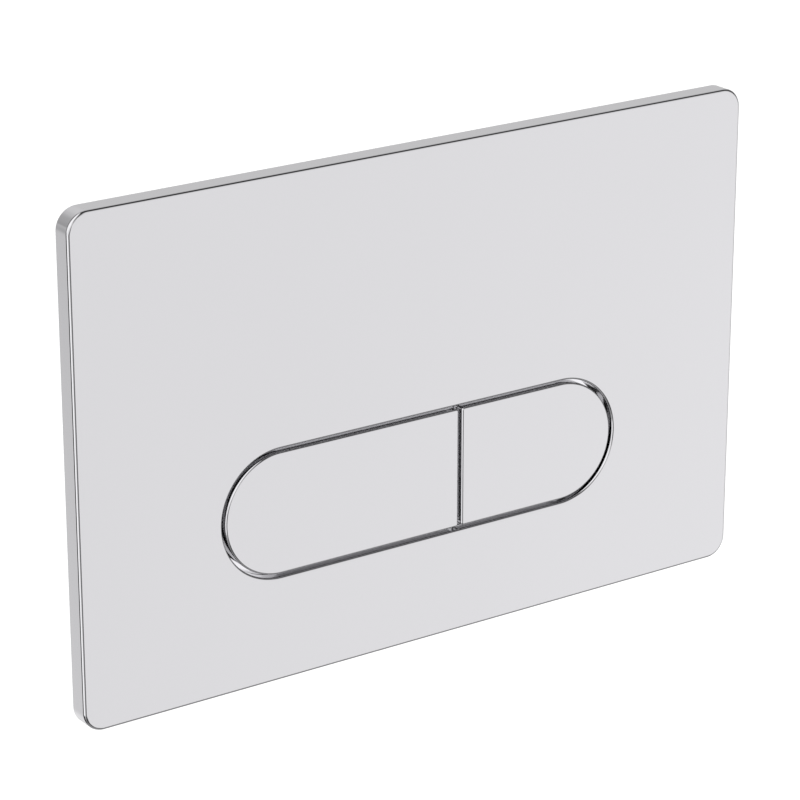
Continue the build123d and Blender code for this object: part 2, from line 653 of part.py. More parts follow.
def rod_head(x):
    """Domed head with a spring seat and a hub that is screwed onto the rod."""
    bore_r = ROD_R + THREAD_FIT
    bore_y = HEAD_FRONT_Y + HEAD_BORE_DEPTH
    sag = HEAD_DOME_R - math.sqrt(HEAD_DOME_R**2 - HEAD_R**2)
    half_r = HEAD_R / 2
    half_sag = HEAD_DOME_R - math.sqrt(HEAD_DOME_R**2 - half_r**2)
    dome = ThreePointArc(
        (0, HEAD_FRONT_Y),
        (half_r, HEAD_FRONT_Y + half_sag),
        (HEAD_R, HEAD_FRONT_Y + sag),
    )
    rest = Polyline(
        (HEAD_R, HEAD_FRONT_Y + sag),
        (HEAD_R, HEAD_SEAT_Y),
        (HEAD_HUB_R, HEAD_SEAT_Y),
        (HEAD_HUB_R, HEAD_HUB_END_Y),
        (bore_r, HEAD_HUB_END_Y),
        (bore_r, bore_y),
        (0, bore_y),
        (0, HEAD_FRONT_Y),
    )
    return Pos(x, 0, ROD_Z) * revolve(make_face([dome, rest]), Axis.Y)


def rod_guide(x):
    """Bush snapped into the bridge: flange in front, bead behind, rear split into fingers."""
    bore_r = ROD_R + RUNNING_FIT
    bead_r = GUIDE_BODY_R + GUIDE_BEAD
    bead_y = LIP_Y + SNAP_FIT
    profile = [
        (bore_r, GUIDE_FRONT_Y),
        (GUIDE_FLANGE_R, GUIDE_FRONT_Y),
        (GUIDE_FLANGE_R, BRIDGE_Y),
        (GUIDE_BODY_R, BRIDGE_Y),
        (GUIDE_BODY_R, bead_y),
        (bead_r, bead_y),
        (GUIDE_SLEEVE_R, bead_y + GUIDE_BEAD_LENGTH),
        (GUIDE_SLEEVE_R, GUIDE_END_Y),
        (bore_r, GUIDE_END_Y),
    ]
    half = GUIDE_SLIT / 2
    cross = Rectangle(2 * bead_r, 2 * half) + Rectangle(2 * half, 2 * bead_r)
    return turned(profile, x, ROD_Z) - prism(Pos(x, ROD_Z) * cross, BRIDGE_Y, GUIDE_END_Y)


def return_spring(x):
    """Coil of hexagonal wire with ground ends, between the head's seat and the guide."""
    seat = HEAD_SEAT_Y + SPRING_SEAT_GAP
    rest = GUIDE_FRONT_Y - SPRING_SEAT_GAP
    length = rest - seat
    coil = Helix(pitch=length / SPRING_TURNS, height=length, radius=SPRING_MEAN_R)
    section = Plane(origin=coil @ 0, x_dir=(1, 0, 0), z_dir=coil % 0) * RegularPolygon(SPRING_WIRE_R, 6)
    wire = Pos(x, seat, ROD_Z) * Rot(-90, 0, 0) * sweep(section, path=coil, is_frenet=True)
    return wire & rod_along_y(x, ROD_Z, SPRING_MEAN_R + 2 * SPRING_WIRE_R, seat, rest)


def rod_nut(x):
    corner_r = ROD_NUT_FLATS / math.sqrt(3)
    outline = RegularPolygon(corner_r, 6) - Circle(ROD_R + THREAD_FIT)
    return prism(Pos(x, ROD_Z) * outline, ROD_NUT_Y, ROD_NUT_Y + ROD_NUT_THICK)


def write(shape, node):
    export_step(shape, f"parts/{node}.step")


os.makedirs("parts", exist_ok=True)
write(front_plate(), "front_plate")
write(button(-1, FULL_HINGE_SPAN, FULL_ROD_X), "full_flush_button")
write(button(1, HALF_HINGE_SPAN, HALF_ROD_X), "half_flush_button")
write(hinge_pin(FULL_HINGE_SPAN), "full_flush_hinge_pin")
write(hinge_pin(HALF_HINGE_SPAN), "half_flush_hinge_pin")
write(button_carrier(), "button_carrier")
write(carrier_screws(), "carrier_screws")
write(mounting_frame(), "mounting_frame")
write(rod_bridge(), "rod_bridge")
for place, x in (("left", -STUD_X), ("right", STUD_X)):
    write(fixing_stud(x), f"{place}_fixing_stud")
    write(fixing_washer(x), f"{place}_fixing_washer")
    write(fixing_nut(x), f"{place}_fixing_nut")
for flush, x in (("full_flush", FULL_ROD_X), ("half_flush", HALF_ROD_X)):
    write(push_rod(x), f"{flush}_push_rod")
    write(rod_head(x), f"{flush}_rod_head")
    write(rod_guide(x), f"{flush}_rod_guide")
    write(return_spring(x), f"{flush}_return_spring")
    write(rod_nut(x), f"{flush}_rod_nut")
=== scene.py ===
# %% [markdown]
# # A dual flush button plate
# The object is the plate in front of a concealed cistern: a thin chromed shell with two buttons in
# one long round-ended opening. Behind it a carrier holds the hinge pins, a frame sits in the wall,
# and two sprung rods carry each push to the flush valve. The measured solids come from CAD, in
# metres, with X to the right, Y into the wall and Z up. This lesson opens them, rebuilds the pieces
# that need finer curves than the CAD mesh has, and gives every piece its finish. Sizes below are in
# millimetres, because that is how such a part is drawn.

# %% Open the measured model
import json
import math

import bmesh
import bpy
from mathutils import Matrix, Vector


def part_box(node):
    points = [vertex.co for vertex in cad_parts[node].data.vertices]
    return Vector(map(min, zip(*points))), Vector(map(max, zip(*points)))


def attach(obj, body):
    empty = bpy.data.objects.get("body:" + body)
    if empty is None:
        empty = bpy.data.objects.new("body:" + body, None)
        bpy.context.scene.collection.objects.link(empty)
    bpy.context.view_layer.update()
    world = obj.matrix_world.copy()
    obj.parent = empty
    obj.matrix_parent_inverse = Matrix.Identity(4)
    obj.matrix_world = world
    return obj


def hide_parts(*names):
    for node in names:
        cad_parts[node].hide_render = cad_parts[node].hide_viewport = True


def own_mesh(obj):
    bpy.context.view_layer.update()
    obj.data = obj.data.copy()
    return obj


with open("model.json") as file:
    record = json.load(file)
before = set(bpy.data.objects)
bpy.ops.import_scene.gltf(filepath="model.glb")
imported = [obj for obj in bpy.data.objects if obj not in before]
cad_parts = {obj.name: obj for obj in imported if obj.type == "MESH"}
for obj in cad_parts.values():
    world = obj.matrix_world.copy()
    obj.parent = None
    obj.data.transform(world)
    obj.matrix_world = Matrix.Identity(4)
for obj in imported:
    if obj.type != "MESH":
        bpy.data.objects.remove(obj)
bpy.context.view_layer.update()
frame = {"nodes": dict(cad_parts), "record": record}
MM = 0.001

# %% [markdown]
# ## The camera
# The photograph looks down at the plate from its upper left with a long lens, so the edges hardly
# converge. A camera could be turned by hand until it fits. Here its direction is written as an
# azimuth and an elevation, which can be checked against the picture, and a tracking rotation aims
# it.

# %% Aim the camera
AZIMUTH = math.radians(-34.53)
ELEVATION = math.radians(20.23)
DISTANCE = 0.9777
AIM = Vector((-0.00447, 0.0, -0.00126))
LENS, SENSOR = 149.37, 36.0

back = Vector((
    math.sin(AZIMUTH) * math.cos(ELEVATION),
    -math.cos(AZIMUTH) * math.cos(ELEVATION),
    math.sin(ELEVATION),
))
camera = bpy.data.objects.new("camera", bpy.data.cameras.new("camera"))
camera.data.lens = LENS
camera.data.sensor_width = SENSOR
camera.location = AIM + back * DISTANCE
camera.rotation_euler = (-back).to_track_quat("-Z", "Y").to_euler()
bpy.context.scene.collection.objects.link(camera)
bpy.context.scene.camera = camera
bpy.context.scene.view_settings.view_transform = "Standard"
print("camera stands at", [round(c, 4) for c in camera.location])

# %% [markdown]
# ## Shader arithmetic
# Finishes here are built from nodes. Adding and linking nodes one by one hides the idea behind
# them, so a small class wraps a socket: adding or multiplying two wires adds the Math node that
# does it, and one method adds any other node with its settings and its inputs.

# %% A socket that can be used in sums
class Wire:
    """One output socket of a node tree, or the bare tree when no socket is given."""

    def __init__(self, tree, socket=None):
        self.tree = tree
        self.socket = socket

    def node(self, kind, settings=None, inputs=None, out=0):
        """Adds a node with its settings and inputs, and returns a wire of one of its outputs."""
        made = self.tree.nodes.new(kind)
        for name, value in (settings or {}).items():
            if name == "stops":
                self.set_stops(made.color_ramp, value)
            else:
                setattr(made, name, value)
        for name, value in (inputs or {}).items():
            if isinstance(value, Wire):
                self.tree.links.new(value.socket, made.inputs[name])
            else:
                made.inputs[name].default_value = value
        return Wire(self.tree, made.outputs[out]) if len(made.outputs) else made

    @staticmethod
    def set_stops(ramp, stops):
        """Gives a colour ramp its stops, each a place from 0 to 1 and a grey tone."""
        while len(ramp.elements) < len(stops):
            ramp.elements.new(1.0)
        for element, (place, tone) in zip(ramp.elements, stops):
            element.position = place
            element.color = (tone, tone, tone, 1.0)

    def math(self, operation, first, second):
        """Adds a Math node on two values."""
        return self.node("ShaderNodeMath", {"operation": operation}, {0: first, 1: second})

    def __add__(self, other):
        return self.math("ADD", self, other)

    def __radd__(self, other):
        return self.math("ADD", other, self)

    def __sub__(self, other):
        return self.math("SUBTRACT", self, other)

    def __rsub__(self, other):
        return self.math("SUBTRACT", other, self)

    def __mul__(self, other):
        return self.math("MULTIPLY", self, other)

    def __rmul__(self, other):
        return self.math("MULTIPLY", other, self)

    def __truediv__(self, other):
        return self.math("DIVIDE", self, other)

    def __rtruediv__(self, other):
        return self.math("DIVIDE", other, self)


print("wires can be added, subtracted, multiplied and divided")

# %% [markdown]
# ## The light tent
# Chrome has no colour of its own: it shows what stands round it. Product photographers put such a
# piece in a tent of white cloth and hang dark cards where an edge should be drawn. A tent of planes
# would work, but a plane close by shows different parts of itself in different parts of a flat
# face. Painting the tent on the world by direction keeps every flat face even. It is written as
# rings of tones, one above the other. A ring's height is the upward part of a ray's direction, from
# -1 for straight down to 1 for straight up. Its stops say how bright the tent is at some azimuths,
# with 0 straight in front of the plate and positive angles to its right.
#
# A face seen from the left shows the right side of the tent, a little below level. The even tones
# from 26 to 50 degrees there are what the photograph shows on the plate. Past them, dark stops and
# a bright card on the left draw thin lines along the rounded edges, and a window in front keeps the
# face light when it is seen straight on. Two rings share these, so they are written once.

# %% Rings of the tent
LEFT_CARD = [
    (-145, 0.04), (-95, 0.04), (-90, 1.45), (-76, 1.45), (-71, 1.1), (-31, 1.1), (-26, 0.1),
]
FRONT_WINDOW = [(-12, 0.1), (-8, 0.3), (8, 0.3), (12, 0.03), (23, 0.01)]
RIGHT_FADE = [(50, 0.95), (65, 0.6), (85, 0.42), (140, 0.5)]
TENT_RINGS = [
    (-0.95, [(-180, 0.4), (-150, 0.2), (-60, 0.35), (60, 0.4), (150, 0.4), (180, 0.4)]),
    (-0.84, [
        (-180, 0.8), (-165, 0.6), (-140, 0.05), (-60, 0.1), (-30, 0.25), (55, 0.3), (75, 0.35),
        (150, 0.35), (180, 0.8),
    ]),
    (-0.60, [
        (-180, 0.9), (-165, 0.9), (-152, 0.85), (-148, 0.78), (-145, 0.03), (-66, 0.03), (-60, 0.6),
        (-31, 0.6), (-27, 0.02), (30, 0.03), (50, 0.15), (75, 0.3), (140, 0.33), (160, 0.8),
        (180, 0.9),
    ]),
    (-0.48, [
        (-180, 0.8), (-152, 0.77), (-148, 0.72), *LEFT_CARD, *FRONT_WINDOW,
        (26.5, 0.93), (34, 0.957), (42, 1.025), *RIGHT_FADE, (180, 0.8),
    ]),
    (-0.25, [
        (-180, 0.64), (-152, 0.65), (-148, 0.61), *LEFT_CARD, *FRONT_WINDOW,
        (26.5, 0.92), (34, 0.94), (42, 0.985), *RIGHT_FADE, (180, 0.62),
    ]),
    (-0.12, [
        (-180, 0.63), (-150, 0.6), (-140, 0.1), (-100, 0.06), (-94, 1.3), (-75, 1.3), (-70, 1.0),
        (-24, 1.0), (-19, 0.7), (-12, 0.7), (-8, 0.9), (7, 0.9), (11, 0.55), (22, 0.55), (26, 0.88),
        (44, 0.92), (56, 0.5), (85, 0.3), (124, 0.3), (138, 0.6), (180, 0.63),
    ]),
    (0.07, [
        (-180, 0.62), (-147, 0.55), (-138, 0.15), (-116, 0.08), (-108, 1.2), (-75, 1.2), (-70, 1.0),
        (-20, 1.0), (-15, 0.7), (-11, 0.7), (-8, 0.9), (7, 0.9), (10, 0.55), (18, 0.55), (24, 0.85),
        (44, 0.88), (56, 0.15), (124, 0.15), (138, 0.66), (180, 0.64),
    ]),
    (0.15, [
        (-180, 0.64), (-155, 0.57), (-144, 0.3), (-138, 0.13), (-116, 0.08), (-108, 1.2),
        (-15, 1.2), (-8, 0.05), (15, 0.05), (24, 0.82), (42, 0.83), (55, 0.12), (112, 0.12),
        (133, 0.64), (180, 0.65),
    ]),
    (0.30, [
        (-180, 0.66), (-163, 0.6), (-150, 0.42), (-138, 0.12), (-116, 0.08), (-108, 1.2),
        (-14, 1.2), (-6, 0.05), (14, 0.05), (24, 0.8), (40, 0.8), (54, 0.1), (100, 0.1),
        (128, 0.62), (140, 0.66), (180, 0.66),
    ]),
    (0.58, [
        (-180, 0.68), (-168, 0.6), (-152, 0.25), (-130, 0.1), (-112, 0.1), (-102, 1.2), (-12, 1.2),
        (4, 0.05), (82, 0.03), (118, 0.6), (140, 0.68), (152, 0.78), (180, 0.7),
    ]),
    (0.82, [
        (-180, 0.6), (-140, 0.1), (-110, 0.1), (-85, 1.2), (-20, 1.2), (10, 0.05), (80, 0.05),
        (125, 0.6), (180, 0.6),
    ]),
]


def ring_stops(ring):
    """Stops of a colour ramp that runs once round, from straight behind to straight behind."""
    return [((degrees + 180) / 360, tone) for degrees, tone in ring]


print("the tent has", len(TENT_RINGS), "rings")

# %% [markdown]
# Two rings next to each other are blended by height, so the tent becomes one smooth surface.
# Azimuth and height both come from the direction of the ray, which the world reads as its Generated
# coordinates.

# %% Blend the rings by height
world = bpy.data.worlds.new("light_tent")
bpy.context.scene.world = world
world.use_nodes = True
world.node_tree.nodes.clear()
aim = Wire(world.node_tree).node("ShaderNodeTexCoord", out="Generated")
split = aim.node("ShaderNodeSeparateXYZ", {}, {"Vector": aim}).socket.node
east, north, up = (Wire(aim.tree, split.outputs[axis]) for axis in "XYZ")
turn = aim.math("ARCTAN2", east, 0 - north) / (2 * math.pi) + 0.5
tent = None
for height, ring in TENT_RINGS:
    band = aim.node("ShaderNodeValToRGB", {"stops": ring_stops(ring)}, {"Fac": turn}, "Color")
    if tent is None:
        tent, below = band, height
        continue
    rise = aim.node(
        "ShaderNodeMapRange", {"interpolation_type": "SMOOTHSTEP"},
        {"Value": up, "From Min": below, "From Max": height},
    )
    tent = aim.node("ShaderNodeMix", {"data_type": "RGBA"}, {0: rise, 6: tent, 7: band}, 2)
    below = height
print("the tent reaches up to height", below)

# %% [markdown]
# A ray that comes straight from the camera sees plain white, as in the photograph. A ray that a
# shiny surface sends on sees the tent instead, because chrome that mirrors only white would lose
# the dark lines along its edges. Soft grey light falls on everything that is not shiny. The Light
# Path node tells these rays apart. One wide lamp above and behind the plate gives the matt pieces
# on its back a light and a shaded side. It is kept out of the reflections, which belong to the
# tent.

# %% Light the scene
SOFT_LIGHT = 0.6
LAMP_STRENGTH = 1.6
LAMP_WIDTH = math.radians(25)
LAMP_FROM = Vector((0.5, 0.7, 1.0))
WHITE = (1.0, 1.0, 1.0, 1.0)

path = aim.node("ShaderNodeLightPath", out="Is Camera Ray").socket.node
seen, shiny, through = (
    Wire(aim.tree, path.outputs[kind])
    for kind in ("Is Camera Ray", "Is Glossy Ray", "Is Transmission Ray")
)
soft = aim.node("ShaderNodeBackground", {}, {"Color": WHITE, "Strength": SOFT_LIGHT})
cloth = aim.node("ShaderNodeBackground", {}, {"Color": tent, "Strength": 1.0})
white = aim.node("ShaderNodeBackground", {}, {"Color": WHITE, "Strength": 1.0})
mixed = aim.node("ShaderNodeMixShader", {}, {0: shiny, 1: soft, 2: cloth})
mixed = aim.node("ShaderNodeMixShader", {}, {0: seen + through, 1: mixed, 2: white})
aim.node("ShaderNodeOutputWorld", {}, {"Surface": mixed})

lamp = bpy.data.objects.new("wide_lamp", bpy.data.lights.new("wide_lamp", "SUN"))
lamp.data.energy = LAMP_STRENGTH
lamp.data.angle = LAMP_WIDTH
lamp.rotation_euler = (-LAMP_FROM).to_track_quat("-Z", "Y").to_euler()
lamp.visible_glossy = False
bpy.context.scene.collection.objects.link(lamp)
print("soft light", SOFT_LIGHT, "and a lamp of", LAMP_STRENGTH)

# %% [markdown]
# ## The floor
# The photograph has a plain white ground. A large pale plane well below the plate catches its soft
# shadow out of the picture. It would render a little grey under soft light, so rays from the camera
# get a small extra glow that lifts it to white without putting more light on the object. It is kept
# out of the reflections, because the tent already goes all the way round.

# %% Lay the floor
FLOOR_Z = -0.30
FLOOR_SIZE = 30.0
FLOOR_GLOW = 0.25
FLOOR_PAINT = (0.9, 0.9, 0.9, 1.0)

floor_mesh = bpy.data.meshes.new("floor")
bm = bmesh.new()
bmesh.ops.create_grid(
    bm, x_segments=1, y_segments=1, size=FLOOR_SIZE / 2, matrix=Matrix.Translation((0, 0, FLOOR_Z))
)
bm.to_mesh(floor_mesh)
bm.free()
floor = bpy.data.objects.new("floor", floor_mesh)
bpy.context.scene.collection.objects.link(floor)
floor.visible_glossy = False

paint = bpy.data.materials.new("pale_floor")
paint.use_nodes = True
paint.node_tree.nodes.clear()
ground = Wire(paint.node_tree)
path = ground.node("ShaderNodeLightPath").socket.node
seen, shiny = (Wire(ground.tree, path.outputs[kind]) for kind in ("Is Camera Ray", "Is Glossy Ray"))
matt = ground.node("ShaderNodeBsdfDiffuse", {}, {"Color": FLOOR_PAINT})
glow = ground.node("ShaderNodeEmission", {}, {"Strength": (seen + shiny) * FLOOR_GLOW})
surface = ground.node("ShaderNodeAddShader", {}, {0: matt, 1: glow})
ground.node("ShaderNodeOutputMaterial", {}, {"Surface": surface})
floor_mesh.materials.append(paint)
print("floor at", FLOOR_Z, "m")

# %% [markdown]
# ## Finishes start the same way
# Every finish below is a Principled shader whose base colour, roughness and bump come from noise on
# the piece's own Object coordinates, so the grain keeps its real size and stays on the piece when
# it moves. What differs from finish to finish is the size of the grain and how shiny the surface
# is.

# %% A finish with its shader and its coordinates
def finish(name):
    """Returns a new material and a wire of its Object coordinates."""
    made = bpy.data.materials.new(name)
    made.use_nodes = True
    made.node_tree.nodes.clear()
    tree = Wire(made.node_tree)
    place = tree.node("ShaderNodeTexCoord", out="Object")
    return made, place


def shade(place, inputs):
    """Ends a finish: its Principled shader with these inputs, on the material's output."""
    shader = place.node("ShaderNodeBsdfPrincipled", {}, inputs)
    place.node("ShaderNodeOutputMaterial", {}, {"Surface": shader})


def cloud(place, scale, detail):
    """Soft noise between 0 and 1, with scale patches to the metre."""
    return place.node(
        "ShaderNodeTexNoise", {}, {"Vector": place, "Scale": scale, "Detail": detail}, "Fac"
    )


def tint(place, amount, dark, light):
    """A colour between two tones, mixed by a value."""
    return place.node(
        "ShaderNodeMix", {"data_type": "RGBA"}, {0: amount, 6: (*dark, 1.0), 7: (*light, 1.0)}, 2
    )


def bump(place, height, depth, strength):
    """Surface relief from a height value, depth metres high."""
    return place.node(
        "ShaderNodeBump", {}, {"Height": height, "Distance": depth, "Strength": strength}, "Normal"
    )


print("finishes share five helpers")

# %% [markdown]
# ## Chrome plating
# The plate and both buttons are moulded in plastic and plated with bright chrome. A plain metal
# shader would be too perfect a mirror: the layer under the plating leaves a faint ripple, and
# handling leaves a haze that changes the gloss a little from place to place. Chrome plates thinly
# on the inside, so the finish is greyer and dull there. A mark on each face says where it lies: 0
# for the outside, 0.9 for the walls of a gap and 1 for the inside. The walls of a gap so get most
# of the greyer tone, as painted shade. The gap's floor is marked below 0, which makes it lighter
# than the outside, as a painted highlight. The real plating in the gap isn't known, so its tones
# are only fitted to the photograph.

# %% Mix the chrome
INSIDE = 0.95

chrome, spot = finish("chrome_plating")
inside_and_painted_gap_mark = spot.node("ShaderNodeAttribute", {"attribute_name": "hidden_side"}, {}, "Fac")
haze = cloud(spot, 14.0, 3.0)
ripple = cloud(spot, 260.0, 1.0)
outer = tint(spot, haze, (0.748, 0.742, 0.764), (0.766, 0.760, 0.782))
inner = tint(spot, haze, (0.50, 0.50, 0.505), (0.58, 0.58, 0.585))
# A mark below 0 goes past the outside tone, which the unclamped mix allows: that is the painted
# highlight on the gap's floor. A mark of 0.9 gives the walls of a gap their painted shade.
unclamped = {"data_type": "RGBA", "clamp_factor": False}
shade(spot, {
    "Base Color": spot.node("ShaderNodeMix", unclamped, {0: inside_and_painted_gap_mark, 6: outer, 7: inner}, 2),
    "Metallic": 1.0,
    "Roughness": 0.05 + 0.03 * haze + 0.22 * spot.math("GREATER_THAN", inside_and_painted_gap_mark, INSIDE),
    "Normal": bump(spot, ripple, 0.00002, 0.15),
})
LOOKS = {"chrome_plating": chrome}
print("chrome mixed")

# %% [markdown]
# ## Drawing outlines
# The plate, its opening and the buttons are rounded outlines with depth. They could be drawn as
# curves, but a one-face grid whose corners are bevelled gives true arcs as mesh, ready to be
# extruded, and each corner can have its own radius. A button needs that: it is round at one end and
# nearly square at the other.

# %% A rounded outline and its depth
TOLERANCE = 0.001


def outline(bm, left, right, low, high, y, radii, steps):
    """One flat face in X and Z at depth y.

    The corners run left low, right low, left high, right high.
    """
    old = set(bm.faces)
    place = (
        Matrix.Translation(((left + right) / 2, y, (low + high) / 2))
        @ Matrix.Rotation(math.pi / 2, 4, "X")
        @ Matrix.Diagonal((right - left, high - low, 1, 1))
    )
    made = bmesh.ops.create_grid(bm, x_segments=1, y_segments=1, size=0.5, matrix=place)
    for corner, radius, count in zip(list(made["verts"]), radii, steps):
        bmesh.ops.bevel(
            bm, geom=[corner], offset=radius, offset_type="OFFSET", segments=count, profile=0.5,
            affect="VERTICES", material=-1,
        )
    verts = list((set(bm.faces) - old).pop().verts)
    bmesh.ops.remove_doubles(bm, verts=verts, dist=TOLERANCE)
    return (set(bm.faces) - old).pop()


def push(bm, face, depth):
    """Extrudes a face along Y and returns the face at the far end."""
    made = bmesh.ops.extrude_face_region(bm, geom=[face, *face.edges])["geom"]
    far = next(item for item in made if isinstance(item, bmesh.types.BMFace))
    bmesh.ops.translate(bm, verts=far.verts, vec=(0, depth, 0))
    return far


print("corners closer than", TOLERANCE, "mm are one")

# %% [markdown]
# A few more helpers work on such a solid. Bevel rounds its edges, as on the real mouldings. A face
# is taken away where a hole or a hollow joins it, which leaves open borders, and triangle fill
# closes the flat sheet between two of them. Booleans could cut the same holes, but they leave long
# thin faces, and a bevel beside those comes out uneven.

# %% Rounds, openings and flat sheets
def soften(bm, edges, radius, steps):
    """Rounds edges to a radius."""
    bmesh.ops.bevel(
        bm, geom=list(edges), offset=radius, offset_type="OFFSET", segments=steps, profile=0.5,
        affect="EDGES", material=-1, clamp_overlap=False,
    )


def open_up(bm, face):
    """Takes a face away, which leaves its edges open."""
    bmesh.ops.delete(bm, geom=[face], context="FACES_ONLY")


def lies_at(item, y):
    """True for an edge or a face whose corners all lie at depth y."""
    return all(abs(v.co.y - y) < TOLERANCE for v in item.verts)


def open_edges(bm, y):
    """Edges at depth y with a face on one side only."""
    return [e for e in bm.edges if e.is_boundary and lies_at(e, y)]


def fill(bm, y):
    """Closes the flat gap between an outer and an inner border that are open at depth y."""
    bmesh.ops.triangle_fill(
        bm, use_beauty=True, use_dissolve=False, edges=open_edges(bm, y), normal=(0, 1, 0)
    )


print("solids can be softened, opened and filled")

# %% [markdown]
# ## The chrome plate
# The front of the real plate is a flat face with a tight round all along its edge: that round is
# what catches the light as a thin line. In the CAD mesh it has only a few facets, so the plate is
# built again at the same sizes with ten. The face stays a single polygon while the edge is rounded,
# because a bevel slides its corners along any edge it meets, and an uncut face keeps the round
# even.

# %% Outer shell of the plate
plate_low, plate_high = (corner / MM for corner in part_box("front_plate"))
FACE_Y = plate_low.y
CORNER_R, CORNER_STEPS = 6.5, 16
EDGE_ROUND, ROUND_STEPS = 0.8, 10


def largest_at(bm, y):
    """The largest face that lies flat at depth y."""
    return max((f for f in bm.faces if lies_at(f, y)), key=lambda f: f.calc_area())


bm = bmesh.new()
hidden_side = bm.faces.layers.float.new("hidden_side")
face = outline(
    bm, plate_low.x, plate_high.x, plate_low.z, plate_high.z, FACE_Y,
    (CORNER_R,) * 4, (CORNER_STEPS,) * 4,
)
rear = push(bm, face, plate_high.y - FACE_Y)
soften(bm, face.edges, EDGE_ROUND, ROUND_STEPS)
open_up(bm, largest_at(bm, FACE_Y))
print("the shell's front edge has", len(open_edges(bm, FACE_Y)), "edges")

# %% [markdown]
# The opening for the buttons has straight sides and half-round ends. Each end is two rounded
# corners that all but meet: a hair of straight edge stays between them, because a bevel can't use
# up all of an edge. A narrow flat border is inset round the opening first: its edges run square to
# the opening, so the round along the lip comes out even. The wall of the opening then runs back
# into a collar, which the button's flange stops against.

# %% The opening and its lip
OPENING_Z = -24.5
OPENING_R = 19.9
HALF_STRAIGHT = 50.4
OPENING_ROUND = 0.7
OPENING_BORDER = 2.2
COLLAR_Y = -3.0
END_STEPS = 36
HAIR = 0.0001


def stadium(bm, radius, y):
    """Outline with half-round ends, as the opening has, at any end radius."""
    reach = HALF_STRAIGHT + radius
    return outline(
        bm, -reach, reach, OPENING_Z - radius, OPENING_Z + radius, y,
        (radius - HAIR,) * 4, (END_STEPS,) * 4,
    )


mouth = stadium(bm, OPENING_R + OPENING_BORDER, FACE_Y)
bmesh.ops.inset_region(
    bm, faces=[mouth], thickness=OPENING_BORDER, use_boundary=True, use_even_offset=True
)
lip = list(mouth.edges)
push(bm, mouth, COLLAR_Y - FACE_Y)
soften(bm, lip, OPENING_ROUND, ROUND_STEPS)
open_up(bm, largest_at(bm, COLLAR_Y))
print("the opening's lip has", len(lip), "edges")

# %% [markdown]
# What is left of the front face is a flat sheet with a hole. Triangle fill closes such a sheet
# between its two borders. Everything built after this point lies behind the face, and is marked as
# the inside.

# %% Close the face, then hollow the back
SKIRT_WALL, COLLAR_WALL = 2.0, 1.4
SKIN_Y = -4.2

fill(bm, FACE_Y)
outside = set(bm.faces)
bmesh.ops.inset_region(bm, faces=[rear], thickness=SKIRT_WALL, use_even_offset=True)
outside.discard(rear)
open_up(bm, push(bm, rear, SKIN_Y - plate_high.y))

collar = stadium(bm, OPENING_R + COLLAR_WALL, COLLAR_Y)
open_up(bm, push(bm, collar, SKIN_Y - COLLAR_Y))
open_up(bm, collar)
fill(bm, COLLAR_Y)
fill(bm, SKIN_Y)
print("the plate's shell has", len(bm.faces), "faces")

# %% [markdown]
# Behind the skin a moulded plate is braced: small triangular webs hold the skirt square, two long
# ribs keep the face flat, and bosses take the carrier's screws. Each is a closed shape of its own
# that is sunk a little into the skin, which is how such details can be added without cutting the
# shell. A block is a cube with bevelled edges, and a boss is a profile that is spun, as on a lathe.

# %% Blocks and turned shapes
SINK = 0.05
EASE_STEPS = 2


def edges_of(verts):
    """The edges that meet at some vertices, each once and always in the same order."""
    return list(dict.fromkeys(e for v in verts for e in v.link_edges))


def slab(bm, low, high, radius):
    """A block between two corners with softened edges."""
    middle = (Vector(low) + Vector(high)) / 2
    size = Vector(high) - Vector(low)
    place = Matrix.Translation(middle) @ Matrix.Diagonal((*size, 1))
    made = bmesh.ops.create_cube(bm, size=1.0, matrix=place)["verts"]
    soften(bm, edges_of(made), radius, EASE_STEPS)


def lathe(bm, profile, base, axis, steps, ring=False):
    """Spins a profile of radius and distance along the axis about that axis through base.

    A ring's profile goes round to its start. Any other profile starts and ends on the axis.
    """
    axis = Vector(axis)
    across = Vector((1, 0, 0)) if axis.x == 0 else Vector((0, 0, 1))
    points = [Vector(base) + across * radius + axis * along for radius, along in profile]
    verts = [bm.verts.new(point) for point in points]
    pairs = list(zip(verts, verts[1:]))
    if ring:
        pairs.append((verts[-1], verts[0]))
    edges = [bm.edges.new(pair) for pair in pairs]
    bmesh.ops.spin(
        bm, geom=verts + edges, cent=base, axis=axis, angle=2 * math.pi, steps=steps, use_merge=True
    )


print("details are sunk", SINK, "mm into what carries them")

# %% [markdown]
# A web is a flat triangle with a blunt tip, extruded to its thickness. It is drawn once, in the
# corner between the skin and the upper side of the skirt, and a turn about Y takes it to each of
# the four sides. They could be copied with the mirror operator, but turning keeps every web the
# right way out.

# %% Webs along the skirt
WEB_THICK, WEB_REACH, WEB_DROP, WEB_TIP = 1.2, 5.5, 2.8, 0.2
LONG_WEBS, SHORT_WEBS = 7, 4


def web(bm, matrix):
    """One triangular web, drawn in the YZ plane and put in place by a matrix."""
    corners = [
        (SINK, 0), (SINK, WEB_DROP), (-WEB_TIP, WEB_DROP), (-WEB_REACH, -SINK), (SINK, -SINK),
    ]
    verts = [bm.verts.new((-WEB_THICK / 2, y, z)) for z, y in corners]
    flat = bm.faces.new(verts)
    made = bmesh.ops.extrude_face_region(bm, geom=[flat])["geom"]
    far = [item for item in made if isinstance(item, bmesh.types.BMVert)]
    bmesh.ops.translate(bm, verts=far, vec=(WEB_THICK, 0, 0))
    bmesh.ops.transform(bm, matrix=matrix, verts=verts + far)


def shares(count, half):
    """The middles of equal shares of a side that reaches half to the left and right."""
    return [(2 * place + 1 - count) * half / count for place in range(count)]


